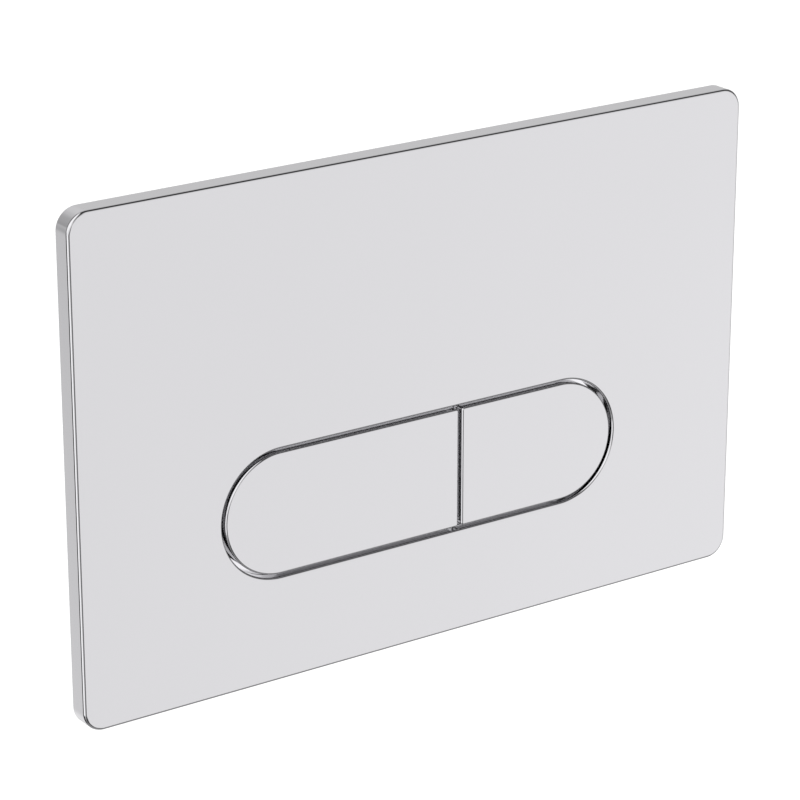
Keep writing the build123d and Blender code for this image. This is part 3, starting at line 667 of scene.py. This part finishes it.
half_x = plate_high.x - SKIRT_WALL
half_z = plate_high.z - SKIRT_WALL
for half_turn in (0, math.pi):
    turned = Matrix.Rotation(half_turn, 4, "Y")
    quarter = turned @ Matrix.Rotation(math.pi / 2, 4, "Y")
    for along in shares(LONG_WEBS, half_x):
        web(bm, turned @ Matrix.Translation((along, SKIN_Y, half_z)))
    for along in shares(SHORT_WEBS, half_z):
        web(bm, quarter @ Matrix.Translation((along, SKIN_Y, half_x)))
print("the skirt has", 2 * (LONG_WEBS + SHORT_WEBS), "webs")

# %% [markdown]
# The ribs run along the plate above the opening, where its face is widest and would sag most in the
# mould. The bosses are short tubes, each with a bore for its screw and a small chamfer at both
# rims. Both come from the two helpers above.

# %% Ribs and screw bosses
INTO_WALL = (0, 1, 0)
RIB_HALF, RIB_SOFT = 0.6, 0.15
LONG_RIB_X, LONG_RIB_REAR_Y, LONG_RIBS_Z = 103.0, -2.6, (17.5, 28.5)
SCREW_PLACES = [
    (-82.0, 42.0), (0.0, 42.0), (82.0, 42.0), (-82.0, -42.0), (0.0, -49.7), (82.0, -42.0),
]
BOSS = [(2.6, -SINK), (2.6, 1.85), (2.45, 2.0), (1.4, 2.0), (1.25, 1.85), (1.25, -SINK)]
SMALL_STEPS = 32

for rib_z in LONG_RIBS_Z:
    low = (-LONG_RIB_X, SKIN_Y - SINK, rib_z - RIB_HALF)
    slab(bm, low, (LONG_RIB_X, LONG_RIB_REAR_Y, rib_z + RIB_HALF), RIB_SOFT)
for x, z in SCREW_PLACES:
    lathe(bm, BOSS, (x, SKIN_Y, z), INTO_WALL, SMALL_STEPS, ring=True)
print("the braced plate has", len(bm.faces), "faces")

# %% [markdown]
# A finished mesh is welded, its normals are turned outwards and it is scaled to metres. Smooth
# shading with sharp edges kept would still bend the reflection on a flat face near its rounded
# edge, so a weighted normal modifier lets the large flat faces decide, and the flats stay true
# mirrors.

# %% Keep a finished piece
WELD = 0.0005
SHARP_ANGLE = math.radians(32)
FLATS_WEIGHT = 90


def keep(bm, name, body, slot, node):
    """Turns a bmesh in millimetres into a piece that rides on a body and replaces a CAD node."""
    bmesh.ops.remove_doubles(bm, verts=bm.verts, dist=WELD)
    bmesh.ops.recalc_face_normals(bm, faces=bm.faces)
    bmesh.ops.scale(bm, vec=(MM, MM, MM), verts=bm.verts)
    mesh = bpy.data.meshes.new(name)
    bm.to_mesh(mesh)
    bm.free()
    mesh.shade_smooth()
    mesh.set_sharp_from_angle(angle=SHARP_ANGLE)
    mesh.materials.append(LOOKS[slot])
    piece = bpy.data.objects.new(name, mesh)
    bpy.context.scene.collection.objects.link(piece)
    even = piece.modifiers.new("even_flats", "WEIGHTED_NORMAL")
    even.keep_sharp = True
    even.weight = FLATS_WEIGHT
    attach(piece, body)
    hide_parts(node)
    print(name, "has", sum(len(p.vertices) - 2 for p in mesh.polygons), "triangles")
    return piece


print("pieces are welded at", WELD, "mm")

# %% [markdown]
# Before the plate is kept, its faces get their mark for the chrome. The sets of faces that were
# noted on the way say which ones are seen from outside. Among them, those behind the round of the
# lip and within the opening are the wall of the gap, which gets painted shade. The marks could be
# painted by hand as a vertex colour, but a test on each face finds the same faces again when a
# size changes.

# %% Mark the plate's faces and keep it
# The gap's walls get painted shade and its floor a painted highlight.
GAP_WALL_PAINTED_SHADE, GAP_FLOOR_PAINTED_HIGHLIGHT = 0.9, -0.9
BEHIND_SLACK, OPENING_SLACK = 0.01, 0.1


def behind(face, y):
    """True for a face that lies wholly behind depth y."""
    return all(v.co.y > y - BEHIND_SLACK for v in face.verts)


def in_opening(face):
    """True for a face within the reach of the opening."""
    middle = face.calc_center_median()
    reach = OPENING_R + OPENING_SLACK
    return abs(middle.z - OPENING_Z) < reach and abs(middle.x) < HALF_STRAIGHT + reach


for f in bm.faces:
    f[hidden_side] = 0.0 if f in outside else 1.0
    if f in outside and behind(f, FACE_Y + OPENING_ROUND) and in_opening(f):
        f[hidden_side] = GAP_WALL_PAINTED_SHADE
keep(bm, "chrome_plate", "wall_plate", "chrome_plating", "front_plate")

# %% [markdown]
# ## The two buttons
# The buttons share the opening: a long one for a full flush and a short one for a half flush, with
# a narrow gap between them. Each is round at its outer end and nearly square at the gap. Both are
# drawn with the same outline helper, pushed to depth and hollowed from behind, so their faces lie
# level with the plate and their edges have the same fine round as a real moulding.

# %% Shell of a button
BUTTON_R = 18.8
BUTTON_ROUND, BUTTON_ROUND_STEPS = 0.6, 8
BUTTON_CORNER_R, HOLLOW_CORNER_R, SQUARE_STEPS = 0.8, 0.1, 6
BUTTON_WALL = 1.6
BUTTON_INNER_Y = -4.4
BUTTON_REAR_Y = -1.2


def button_outline(bm, side, radius, end_x, y, corner):
    """The opening's outline on one side of the gap, round far from it and square at end_x."""
    far = side * (HALF_STRAIGHT + radius)
    round_end, square_end = (radius - HAIR, END_STEPS), (corner, SQUARE_STEPS)
    first, last = (round_end, square_end) if side < 0 else (square_end, round_end)
    radii, steps = zip(first, last, first, last)
    return outline(
        bm, min(far, end_x), max(far, end_x), OPENING_Z - radius, OPENING_Z + radius, y,
        radii, steps,
    )


def button_shell(bm, side, end_x):
    """A hollow button with its face forward. Returns the faces that are seen from outside."""
    face = button_outline(bm, side, BUTTON_R, end_x, FACE_Y, BUTTON_CORNER_R)
    rear = push(bm, face, BUTTON_REAR_Y - FACE_Y)
    soften(bm, face.edges, BUTTON_ROUND, BUTTON_ROUND_STEPS)
    open_up(bm, rear)
    outside = set(bm.faces)
    inner_x = end_x + side * BUTTON_WALL
    hollow = button_outline(
        bm, side, BUTTON_R - BUTTON_WALL, inner_x, BUTTON_REAR_Y, HOLLOW_CORNER_R
    )
    push(bm, hollow, BUTTON_INNER_Y - BUTTON_REAR_Y)
    open_up(bm, hollow)
    fill(bm, BUTTON_REAR_Y)
    return outside


print("button shells are", BUTTON_REAR_Y - FACE_Y, "mm deep")

# %% [markdown]
# Behind its wall each button has a flange that stops it against the collar and closes the view into
# the gap. It is a flat ring: two outlines are pushed to the same depth, and the sheets between them
# are filled. It ends just short of the button's rear, so that no two faces lie in one plane and
# flicker.

# %% Flange of a button
FLANGE_Y, FLANGE_R, FLANGE_INNER_R = -2.7, 21.0, 18.5
FLANGE_REACH = 0.45
FLANGE_SHORT = 0.02
OVERLAP = 0.3


def flange(bm, side, end_x):
    """The ring behind a button's wall, from under the wall to past the opening's edge."""
    depth = BUTTON_REAR_Y - FLANGE_Y - FLANGE_SHORT
    for radius, reach in ((FLANGE_R, FLANGE_REACH), (FLANGE_INNER_R, -OVERLAP)):
        face = button_outline(bm, side, radius, end_x - side * reach, FLANGE_Y, OVERLAP)
        open_up(bm, push(bm, face, depth))
        open_up(bm, face)
    fill(bm, FLANGE_Y)
    fill(bm, FLANGE_Y + depth)


print("the flange reaches", round(FLANGE_R - OPENING_R, 2), "mm past the opening")

# %% [markdown]
# Ribs stiffen the skin of a button: one along it at the height of the rod, and one across it behind
# each hinge arm and at the rod. They are blocks that reach a little into the walls. In the
# half-round end the hollow gets narrower, so a rib's reach is worked out from the circle at its
# place.

# %% Ribs of a button
ROD_Z = -31.0
RIB_REAR_Y, RIB_STAGGER = -1.7, 0.01
BUTTON_SOFT = 0.12


def inner_reach(offset):
    """How far the hollow's end circle reaches at some offset from its middle."""
    return math.sqrt((BUTTON_R - BUTTON_WALL) ** 2 - offset**2)


def ribs(bm, side, end_x, places):
    """One rib along the button and one across it at each of the places."""
    front = BUTTON_INNER_Y - SINK
    far = side * (HALF_STRAIGHT + inner_reach(ROD_Z - OPENING_Z) + OVERLAP)
    near = end_x + side * (BUTTON_WALL - OVERLAP)
    low = (min(far, near), front, ROD_Z - RIB_HALF)
    slab(bm, low, (max(far, near), RIB_REAR_Y, ROD_Z + RIB_HALF), BUTTON_SOFT)
    for x in places:
        reach = inner_reach(max(0.0, abs(x) - HALF_STRAIGHT)) + OVERLAP
        low = (x - RIB_HALF, front, OPENING_Z - reach)
        slab(bm, low, (x + RIB_HALF, RIB_REAR_Y - RIB_STAGGER, OPENING_Z + reach), BUTTON_SOFT)


print("ribs are", 2 * RIB_HALF, "mm thick")

# %% [markdown]
# Two arms carry each button. An arm is a flat bar from the button's wall up to the hinge, with an
# eye at its end that turns on the pin. The bar starts a little behind the flange's front, so that
# it doesn't show through it in the gap, and the eye is a ring that is spun about the pin.

# %% Hinge arms of a button
HINGE_Y, HINGE_Z = -1.6, 1.2
EYE_R, EYE_BORE, LUG_WIDTH = 2.1, 1.26, 5.0
ARM_REAR_Y, BORE_CLEAR = -0.9, 0.04
ALONG_PLATE = (1, 0, 0)


def hinge_arm(bm, x):
    """A bar that goes up from the wall, and the eye at its end."""
    left, right = x - LUG_WIDTH / 2, x + LUG_WIDTH / 2
    foot = OPENING_Z + BUTTON_R - BUTTON_WALL
    top = HINGE_Z - EYE_BORE - BORE_CLEAR
    slab(bm, (left, FLANGE_Y + SINK, foot), (right, ARM_REAR_Y, top), BUTTON_SOFT)
    eye = [(EYE_BORE, 0), (EYE_R, 0), (EYE_R, LUG_WIDTH), (EYE_BORE, LUG_WIDTH)]
    lathe(bm, eye, (left, HINGE_Y, HINGE_Z), ALONG_PLATE, SMALL_STEPS, ring=True)


print("the hinges are at height", HINGE_Z, "mm")

# %% [markdown]
# The two buttons differ in four values: the side of the gap, the end at the gap, the place of the
# rod and the places of the arms. A mirrored copy wouldn't do, because the long button reaches past
# the middle of the plate, so one loop makes both. A round pusher behind each face meets the head of
# its rod. At the end the faces get their marks: the walls of the gap get painted shade, and the
# front of the flange, the floor of the gap, gets a painted highlight.

# %% Make both buttons
PUSHER = [(0, -4.45), (5.0, -4.45), (5.0, 0.1), (4.7, 0.4), (0, 0.4)]
ROUND_ROD_STEPS = 40
ROD_X = {"full_flush": -35.0, "half_flush": 35.0}
BUTTONS = {"full_flush": (-1, 12.3, (-49.1, -4.9)), "half_flush": (1, 13.55, (24.9, 55.1))}

for name, (side, end_x, lugs) in BUTTONS.items():
    rod_x = ROD_X[name]
    bm = bmesh.new()
    hidden_side = bm.faces.layers.float.new("hidden_side")
    outside = button_shell(bm, side, end_x)
    flange(bm, side, end_x)
    ribs(bm, side, end_x, (*lugs, rod_x))
    lathe(bm, PUSHER, (rod_x, 0, ROD_Z), INTO_WALL, ROUND_ROD_STEPS)
    for x in lugs:
        hinge_arm(bm, x)
    for f in bm.faces:
        f[hidden_side] = 0.0 if f in outside else 1.0
        if f in outside and behind(f, FACE_Y + BUTTON_ROUND):
            f[hidden_side] = GAP_WALL_PAINTED_SHADE
        if lies_at(f, FLANGE_Y):
            f[hidden_side] = GAP_FLOOR_PAINTED_HIGHLIGHT
    keep(bm, f"{name}_chrome_button", f"{name}_button", "chrome_plating", f"{name}_button")

# %% [markdown]
# ## Moulded plastics
# The carrier, the frame, the rods and the fittings are injection moulded. Such plastic is never one
# flat colour: the mould's spark-eroded skin gives a fine grain, flow leaves broad soft patches, and
# gloss follows both. Dust and grease settle in the roots of a thread, and shade falls there, so a
# mark on their faces makes them darker: grime and painted shade. One helper makes all of them, with
# the colour, the gloss and the grain as its values.

# %% Mix the plastics
def grime_and_painted_shade(place, clean, share):
    """Darkens a colour by a share where a thread root is marked: grime and painted shade."""
    root = place.node("ShaderNodeAttribute", {"attribute_name": "thread_root"}, {}, "Fac")
    left = 1 - share
    multiply = {"data_type": "RGBA", "blend_type": "MULTIPLY"}
    return place.node("ShaderNodeMix", multiply, {0: root, 6: clean, 7: (left, left, left, 1.0)}, 2)


def moulded(name, dark, light, gloss, grain_depth):
    """A plastic between two tones, with a rough grain of some depth in metres."""
    look, spot = finish(name)
    flow = cloud(spot, 30.0, 2.0)
    grain = cloud(spot, 1800.0, 2.0)
    shade(spot, {
        "Base Color": grime_and_painted_shade(spot, tint(spot, flow * 0.7 + grain * 0.3, dark, light), share=0.35),
        "Roughness": gloss + 0.12 * grain,
        "Normal": bump(spot, grain, grain_depth, 0.5),
    })
    return look


PLASTICS = {
    "carrier_plastic": ((0.035, 0.037, 0.040), (0.055, 0.058, 0.062), 0.45, 0.00005),
    "frame_plastic": ((0.55, 0.55, 0.52), (0.64, 0.64, 0.61), 0.42, 0.00005),
    "fitting_plastic": ((0.12, 0.13, 0.145), (0.17, 0.18, 0.195), 0.33, 0.00003),
    "rod_plastic": ((0.68, 0.68, 0.64), (0.76, 0.76, 0.72), 0.3, 0.00002),
}
for name, values in PLASTICS.items():
    LOOKS[name] = moulded(name, *values)
print(len(PLASTICS), "plastics mixed")

# %% [markdown]
# ## Plated and drawn steel
# Screws, studs and washers are zinc plated: bright, a little blue, with spangled patches of
# different gloss. Hinge pins and springs are drawn wire, darker and with finer patches. One helper
# makes both, because they differ only in tone, gloss and the size of the patches.

# %% Mix the metals
def steel(name, dark, light, gloss, patch):
    """A metal between two tones, with patch spangles to the metre."""
    look, spot = finish(name)
    spangle = cloud(spot, patch, 3.0)
    scratch = cloud(spot, 1400.0, 4.0)
    shade(spot, {
        "Base Color": grime_and_painted_shade(spot, tint(spot, spangle, dark, light), share=0.75),
        "Metallic": 1.0,
        "Roughness": gloss + 0.18 * spangle + 0.08 * scratch,
        "Normal": bump(spot, scratch, 0.00002, 0.3),
    })
    return look


METALS = {
    "zinc_steel": ((0.52, 0.54, 0.57), (0.68, 0.69, 0.70), 0.18, 260.0),
    "spring_steel": ((0.36, 0.36, 0.37), (0.50, 0.50, 0.50), 0.16, 500.0),
}
for name, values in METALS.items():
    LOOKS[name] = steel(name, *values)
print("finishes for", len(LOOKS), "material slots")

# %% [markdown]
# ## Threads
# CAD keeps a thread simple as a plain cylinder, but the eye knows a stud by its thread. The Screw
# modifier could wind one. In bmesh, spin does the same when each of its steps also moves a little
# along the axis: a closed section then climbs round the core. The ridge is a solid of its own, sunk
# into the core, and its crest has the radius of the plain cylinder.

# %% Wind a section round an axis
def wind(bm, geom, x, z, turns, pitch, steps):
    """Spins geometry about the line along Y through x and z, climbing by pitch.

    Returns the last section.
    """
    made = bmesh.ops.spin(
        bm, geom=geom, cent=(x, 0, z), axis=INTO_WALL, dvec=(0, pitch / steps, 0),
        angle=2 * math.pi * turns, steps=round(turns * steps),
    )
    return made["geom_last"]


def cap(bm, section):
    """Closes an open end of what was wound."""
    edges = [item for item in section if isinstance(item, bmesh.types.BMEdge)]
    bmesh.ops.edgeloop_fill(bm, edges=edges)


print("sections can be wound and capped")

# %% [markdown]
# The ridge's section is a triangle with a flat crest. Its corners are written as a radius and a
# share of the pitch, so that one section fits every thread. Dirt gathers on the core between the
# turns, and shade falls there: its round sides get a mark before the ridge is wound, which the
# finishes read as grime and painted shade.

# %% A thread and the grime and painted shade in its roots
THREAD_STEPS = 24
THREAD_SINK = 0.1
SIDE_LEAN = 0.1


def thread(bm, form, x, z, start, end):
    """A ridge between two depths. Its form is the crest's radius, its depth and its pitch."""
    crest, depth, pitch = form
    root = crest - depth - THREAD_SINK
    section = [(root, 0.04), (crest, 0.4), (crest, 0.56), (root, 0.92)]
    verts = [bm.verts.new((x + radius, start + share * pitch, z)) for radius, share in section]
    first = [bm.edges.new(pair) for pair in zip(verts, verts[1:] + verts[:1])]
    turns = round(THREAD_STEPS * ((end - start) / pitch - 1)) / THREAD_STEPS
    last = wind(bm, verts + first, x, z, turns, pitch, THREAD_STEPS)
    cap(bm, first)
    cap(bm, last)


def mark_grime_and_painted_shade(bm, end):
    """Marks round core sides made so far, up to depth end, as roots for grime and painted shade."""
    roots = bm.faces.layers.float.new("thread_root")
    bm.normal_update()
    for face in bm.faces:
        core = abs(face.normal.y) < SIDE_LEAN and face.calc_center_median().y < end
        face[roots] = 1.0 if core else 0.0


print("a thread turns once in each pitch")

# %% [markdown]
# Each fixing stud has a fine thread with a screwdriver slot in front, a hexagonal collar that bears
# on the frame, and a coarser thread that goes into the wall. The slot leaves two half discs, cut
# from a circle by a plane on each side. The collar is a cone of six sides with both radii alike,
# turned so that two of its flats lie level.

# %% Slotted tip and collar of a stud
STUD_FRONT, SLOT_END, COLLAR_FRONT, COLLAR_REAR, STUD_END = 9.5, 11.5, 25.5, 29.0, 55.0
FINE_CORE, COARSE_CORE = 2.5, 3.4
COLLAR_FLATS, COLLAR_SOFT, COLLAR_STEPS = 12.0, 0.25, 3
SLOT_HALF = 0.6


def half_disc(bm, x, side):
    """Half of the stud's tip, on one side of the slot."""
    place = Matrix.Translation((x, STUD_FRONT, 0)) @ Matrix.Rotation(math.pi / 2, 4, "X")
    disc = bmesh.ops.create_circle(
        bm, cap_ends=True, radius=FINE_CORE, segments=SMALL_STEPS, matrix=place
    )["verts"]
    face = disc[0].link_faces[0]
    cut = bmesh.ops.bisect_plane(
        bm, geom=[*disc, *face.edges, face], plane_co=(x, 0, side * SLOT_HALF),
        plane_no=(0, 0, side), clear_inner=True,
    )
    half = next(item for item in cut["geom"] if isinstance(item, bmesh.types.BMFace))
    push(bm, half, SLOT_END - STUD_FRONT + SINK)


def hex_collar(bm, x):
    """The six-sided collar, with softened edges."""
    place = (
        Matrix.Translation((x, (COLLAR_FRONT + COLLAR_REAR) / 2, 0))
        @ Matrix.Rotation(math.pi / 2, 4, "X") @ Matrix.Rotation(math.pi / 6, 4, "Z")
    )
    corner = COLLAR_FLATS / math.sqrt(3)
    made = bmesh.ops.create_cone(
        bm, cap_ends=True, segments=6, radius1=corner, radius2=corner,
        depth=COLLAR_REAR - COLLAR_FRONT, matrix=place,
    )["verts"]
    soften(bm, edges_of(made), COLLAR_SOFT, COLLAR_STEPS)


print("the collar is", COLLAR_FLATS, "mm across its flats")

# %% [markdown]
# A stud's two cores are turned profiles that end inside the collar. They are spun first, so that
# the marking of the thread roots meets nothing else. Then come the ridges, the collar and the tip.

# %% Make the fixing studs
STUD_X = 70.0
FINE_THREAD, COARSE_THREAD = (3.0, 0.5, 1.0), (4.0, 0.6, 1.25)
CHAMFER, RUN_OUT = 0.4, 0.5
CORES = [
    [
        (0, SLOT_END), (FINE_CORE, SLOT_END),
        (FINE_CORE, COLLAR_FRONT + SINK), (0, COLLAR_FRONT + SINK),
    ],
    [
        (0, COLLAR_REAR - SINK), (COARSE_CORE, COLLAR_REAR - SINK),
        (COARSE_CORE, STUD_END - CHAMFER), (COARSE_CORE - CHAMFER, STUD_END), (0, STUD_END),
    ],
]

for name, x in (("left", -STUD_X), ("right", STUD_X)):
    bm = bmesh.new()
    for core in CORES:
        lathe(bm, core, (x, 0, 0), INTO_WALL, SMALL_STEPS)
    mark_grime_and_painted_shade(bm, STUD_END)
    thread(bm, FINE_THREAD, x, 0, SLOT_END, COLLAR_FRONT)
    thread(bm, COARSE_THREAD, x, 0, COLLAR_REAR, STUD_END - RUN_OUT)
    hex_collar(bm, x)
    for side in (-1, 1):
        half_disc(bm, x, side)
    keep(bm, f"{name}_threaded_stud", "wall_plate", "zinc_steel", f"{name}_fixing_stud")

# %% [markdown]
# The push rods are moulded, so their thread is coarse and its turns lie far apart. The rod is plain
# where the head is screwed on and at its tip, which meets the flush valve. The whole rod is one
# turned profile, and only the part in front of the tip is marked as thread root.

# %% Make the push rods
ROD_FRONT, THREAD_FRONT, TIP_Y, ROD_END = 4.05, 14.0, 48.0, 62.0
ROD_CORE, TIP_R = 2.6, 2.5
ROD_THREAD = (3.0, 0.4, 2.0)
ROD_PROFILE = [
    (0, ROD_FRONT), (ROD_CORE - CHAMFER, ROD_FRONT), (ROD_CORE, ROD_FRONT + CHAMFER),
    (ROD_CORE, TIP_Y - 0.2), (TIP_R, TIP_Y),
    (TIP_R, ROD_END - 0.8), (TIP_R - 0.3, ROD_END - 0.3), (TIP_R - 0.8, ROD_END), (0, ROD_END),
]

for name, rod_x in ROD_X.items():
    bm = bmesh.new()
    lathe(bm, ROD_PROFILE, (rod_x, 0, ROD_Z), INTO_WALL, ROUND_ROD_STEPS)
    mark_grime_and_painted_shade(bm, TIP_Y)
    thread(bm, ROD_THREAD, rod_x, ROD_Z, THREAD_FRONT, TIP_Y)
    keep(bm, f"{name}_threaded_rod", f"{name}_rod", "rod_plastic", f"{name}_push_rod")

# %% [markdown]
# ## Return springs
# Each spring is round wire with closed ends: the first and the last turn lie flat, so it stands
# square on its seat. A curve with a bevel could make it, but the same winding helper does, in three
# runs with their own pitch.

# %% Wind the springs
WIRE_R, COIL_R = 0.45, 6.1
WIRE_STEPS, COIL_STEPS = 10, 32
SPRING_LOW, SPRING_HIGH = 5.05, 18.45
CLOSED_TURNS, OPEN_TURNS, CLOSED_PITCH = 0.75, 4.0, 0.95

spring_length = SPRING_HIGH - SPRING_LOW
open_pitch = (spring_length - 2 * WIRE_R - 2 * CLOSED_TURNS * CLOSED_PITCH) / OPEN_TURNS
closed_run = (CLOSED_TURNS, CLOSED_PITCH)
for name, rod_x in ROD_X.items():
    bm = bmesh.new()
    place = Matrix.Translation((rod_x + COIL_R, SPRING_LOW + WIRE_R, ROD_Z))
    ring = bmesh.ops.create_circle(bm, segments=WIRE_STEPS, radius=WIRE_R, matrix=place)["verts"]
    first = edges_of(ring)
    section = ring + first
    for turns, pitch in (closed_run, (OPEN_TURNS, open_pitch), closed_run):
        section = wind(bm, section, rod_x, ROD_Z, turns, pitch, COIL_STEPS)
    cap(bm, first)
    cap(bm, section)
    coil = keep(
        bm, f"{name}_coil_spring", "wall_plate", "spring_steel", f"{name}_return_spring"
    )
    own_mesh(coil)

# %% [markdown]
# ## Eased edges on the mouldings
# No edge of a moulding is perfectly sharp: the tool is eased and the plastic shrinks, so each edge
# catches a thin line of light. The large mouldings keep the shape that they were measured with.
# Their mesh is copied, its loose triangles are merged and joined to flat faces, and only the
# outward edges are bevelled.

# %% Ease the edges of a moulding
EASE = 0.2
FLAT_ANGLE, EDGE_ANGLE = math.radians(0.5), math.radians(50)


def eased_copy(node):
    """The merged mesh of a CAD solid, in millimetres, with its outward edges eased."""
    bm = bmesh.new()
    bm.from_mesh(frame["nodes"][node].data)
    bmesh.ops.scale(bm, vec=(1 / MM, 1 / MM, 1 / MM), verts=bm.verts)
    bmesh.ops.remove_doubles(bm, verts=bm.verts, dist=TOLERANCE)
    bmesh.ops.dissolve_limit(bm, angle_limit=FLAT_ANGLE, verts=bm.verts, edges=bm.edges)
    outward = [e for e in bm.edges if e.is_manifold and e.is_convex]
    soften(bm, [e for e in outward if e.calc_face_angle() > EDGE_ANGLE], EASE, EASE_STEPS)
    return bm


print("edges are eased by", EASE, "mm")

# %% [markdown]
# Pins push a moulding out of its tool, and each leaves a faint round mark on a flat face at the
# back. It could be a bump in the finish, but a low ring of real geometry stays in the exported
# mesh. The profile of one mark is spun at each place.

# %% Ease and mark the large mouldings
PIN_MARK = [(0, -SINK), (2.2, -SINK), (2.2, 0.02), (2.1, 0.06), (1.9, 0.06), (1.8, 0.02), (0, 0.02)]
PIN_STEPS = 24
MOULDINGS = {
    "mounting_frame": (
        "frame_plastic", 24.0, [(-64.0, -10.5), (-64.0, 10.5), (64.0, -10.5), (64.0, 10.5)],
    ),
    "rod_bridge": (
        "frame_plastic", 22.0, [(-40.0, 4.0), (0.0, 4.0), (40.0, 4.0), (0.0, -24.0), (0.0, -46.0)],
    ),
    "button_carrier": (
        "carrier_plastic", -0.2, [(-75.0, 28.0), (-45.0, 42.0), (45.0, 42.0), (75.0, 28.0)],
    ),
}

for node, (plastic, rear_y, marks) in MOULDINGS.items():
    bm = eased_copy(node)
    for x, z in marks:
        lathe(bm, PIN_MARK, (x, rear_y, z), INTO_WALL, PIN_STEPS)
    keep(bm, f"eased_{node}", "wall_plate", plastic, node)

# %% [markdown]
# ## The remaining solids
# Screws, pins, washers, nuts, rod heads and guides are right as they were measured: small turned
# and moulded shapes whose flutes, slots and chamfers the CAD mesh already has. They could be built
# again, but nothing would be gained, so they keep their meshes and get the finish of their material
# slot.

# %% Give the remaining solids their finishes
for part in frame["record"]["subparts"]:
    solid = frame["nodes"][part["node"]]
    for slot in solid.material_slots:
        slot.material = LOOKS[part["material_slot"]]
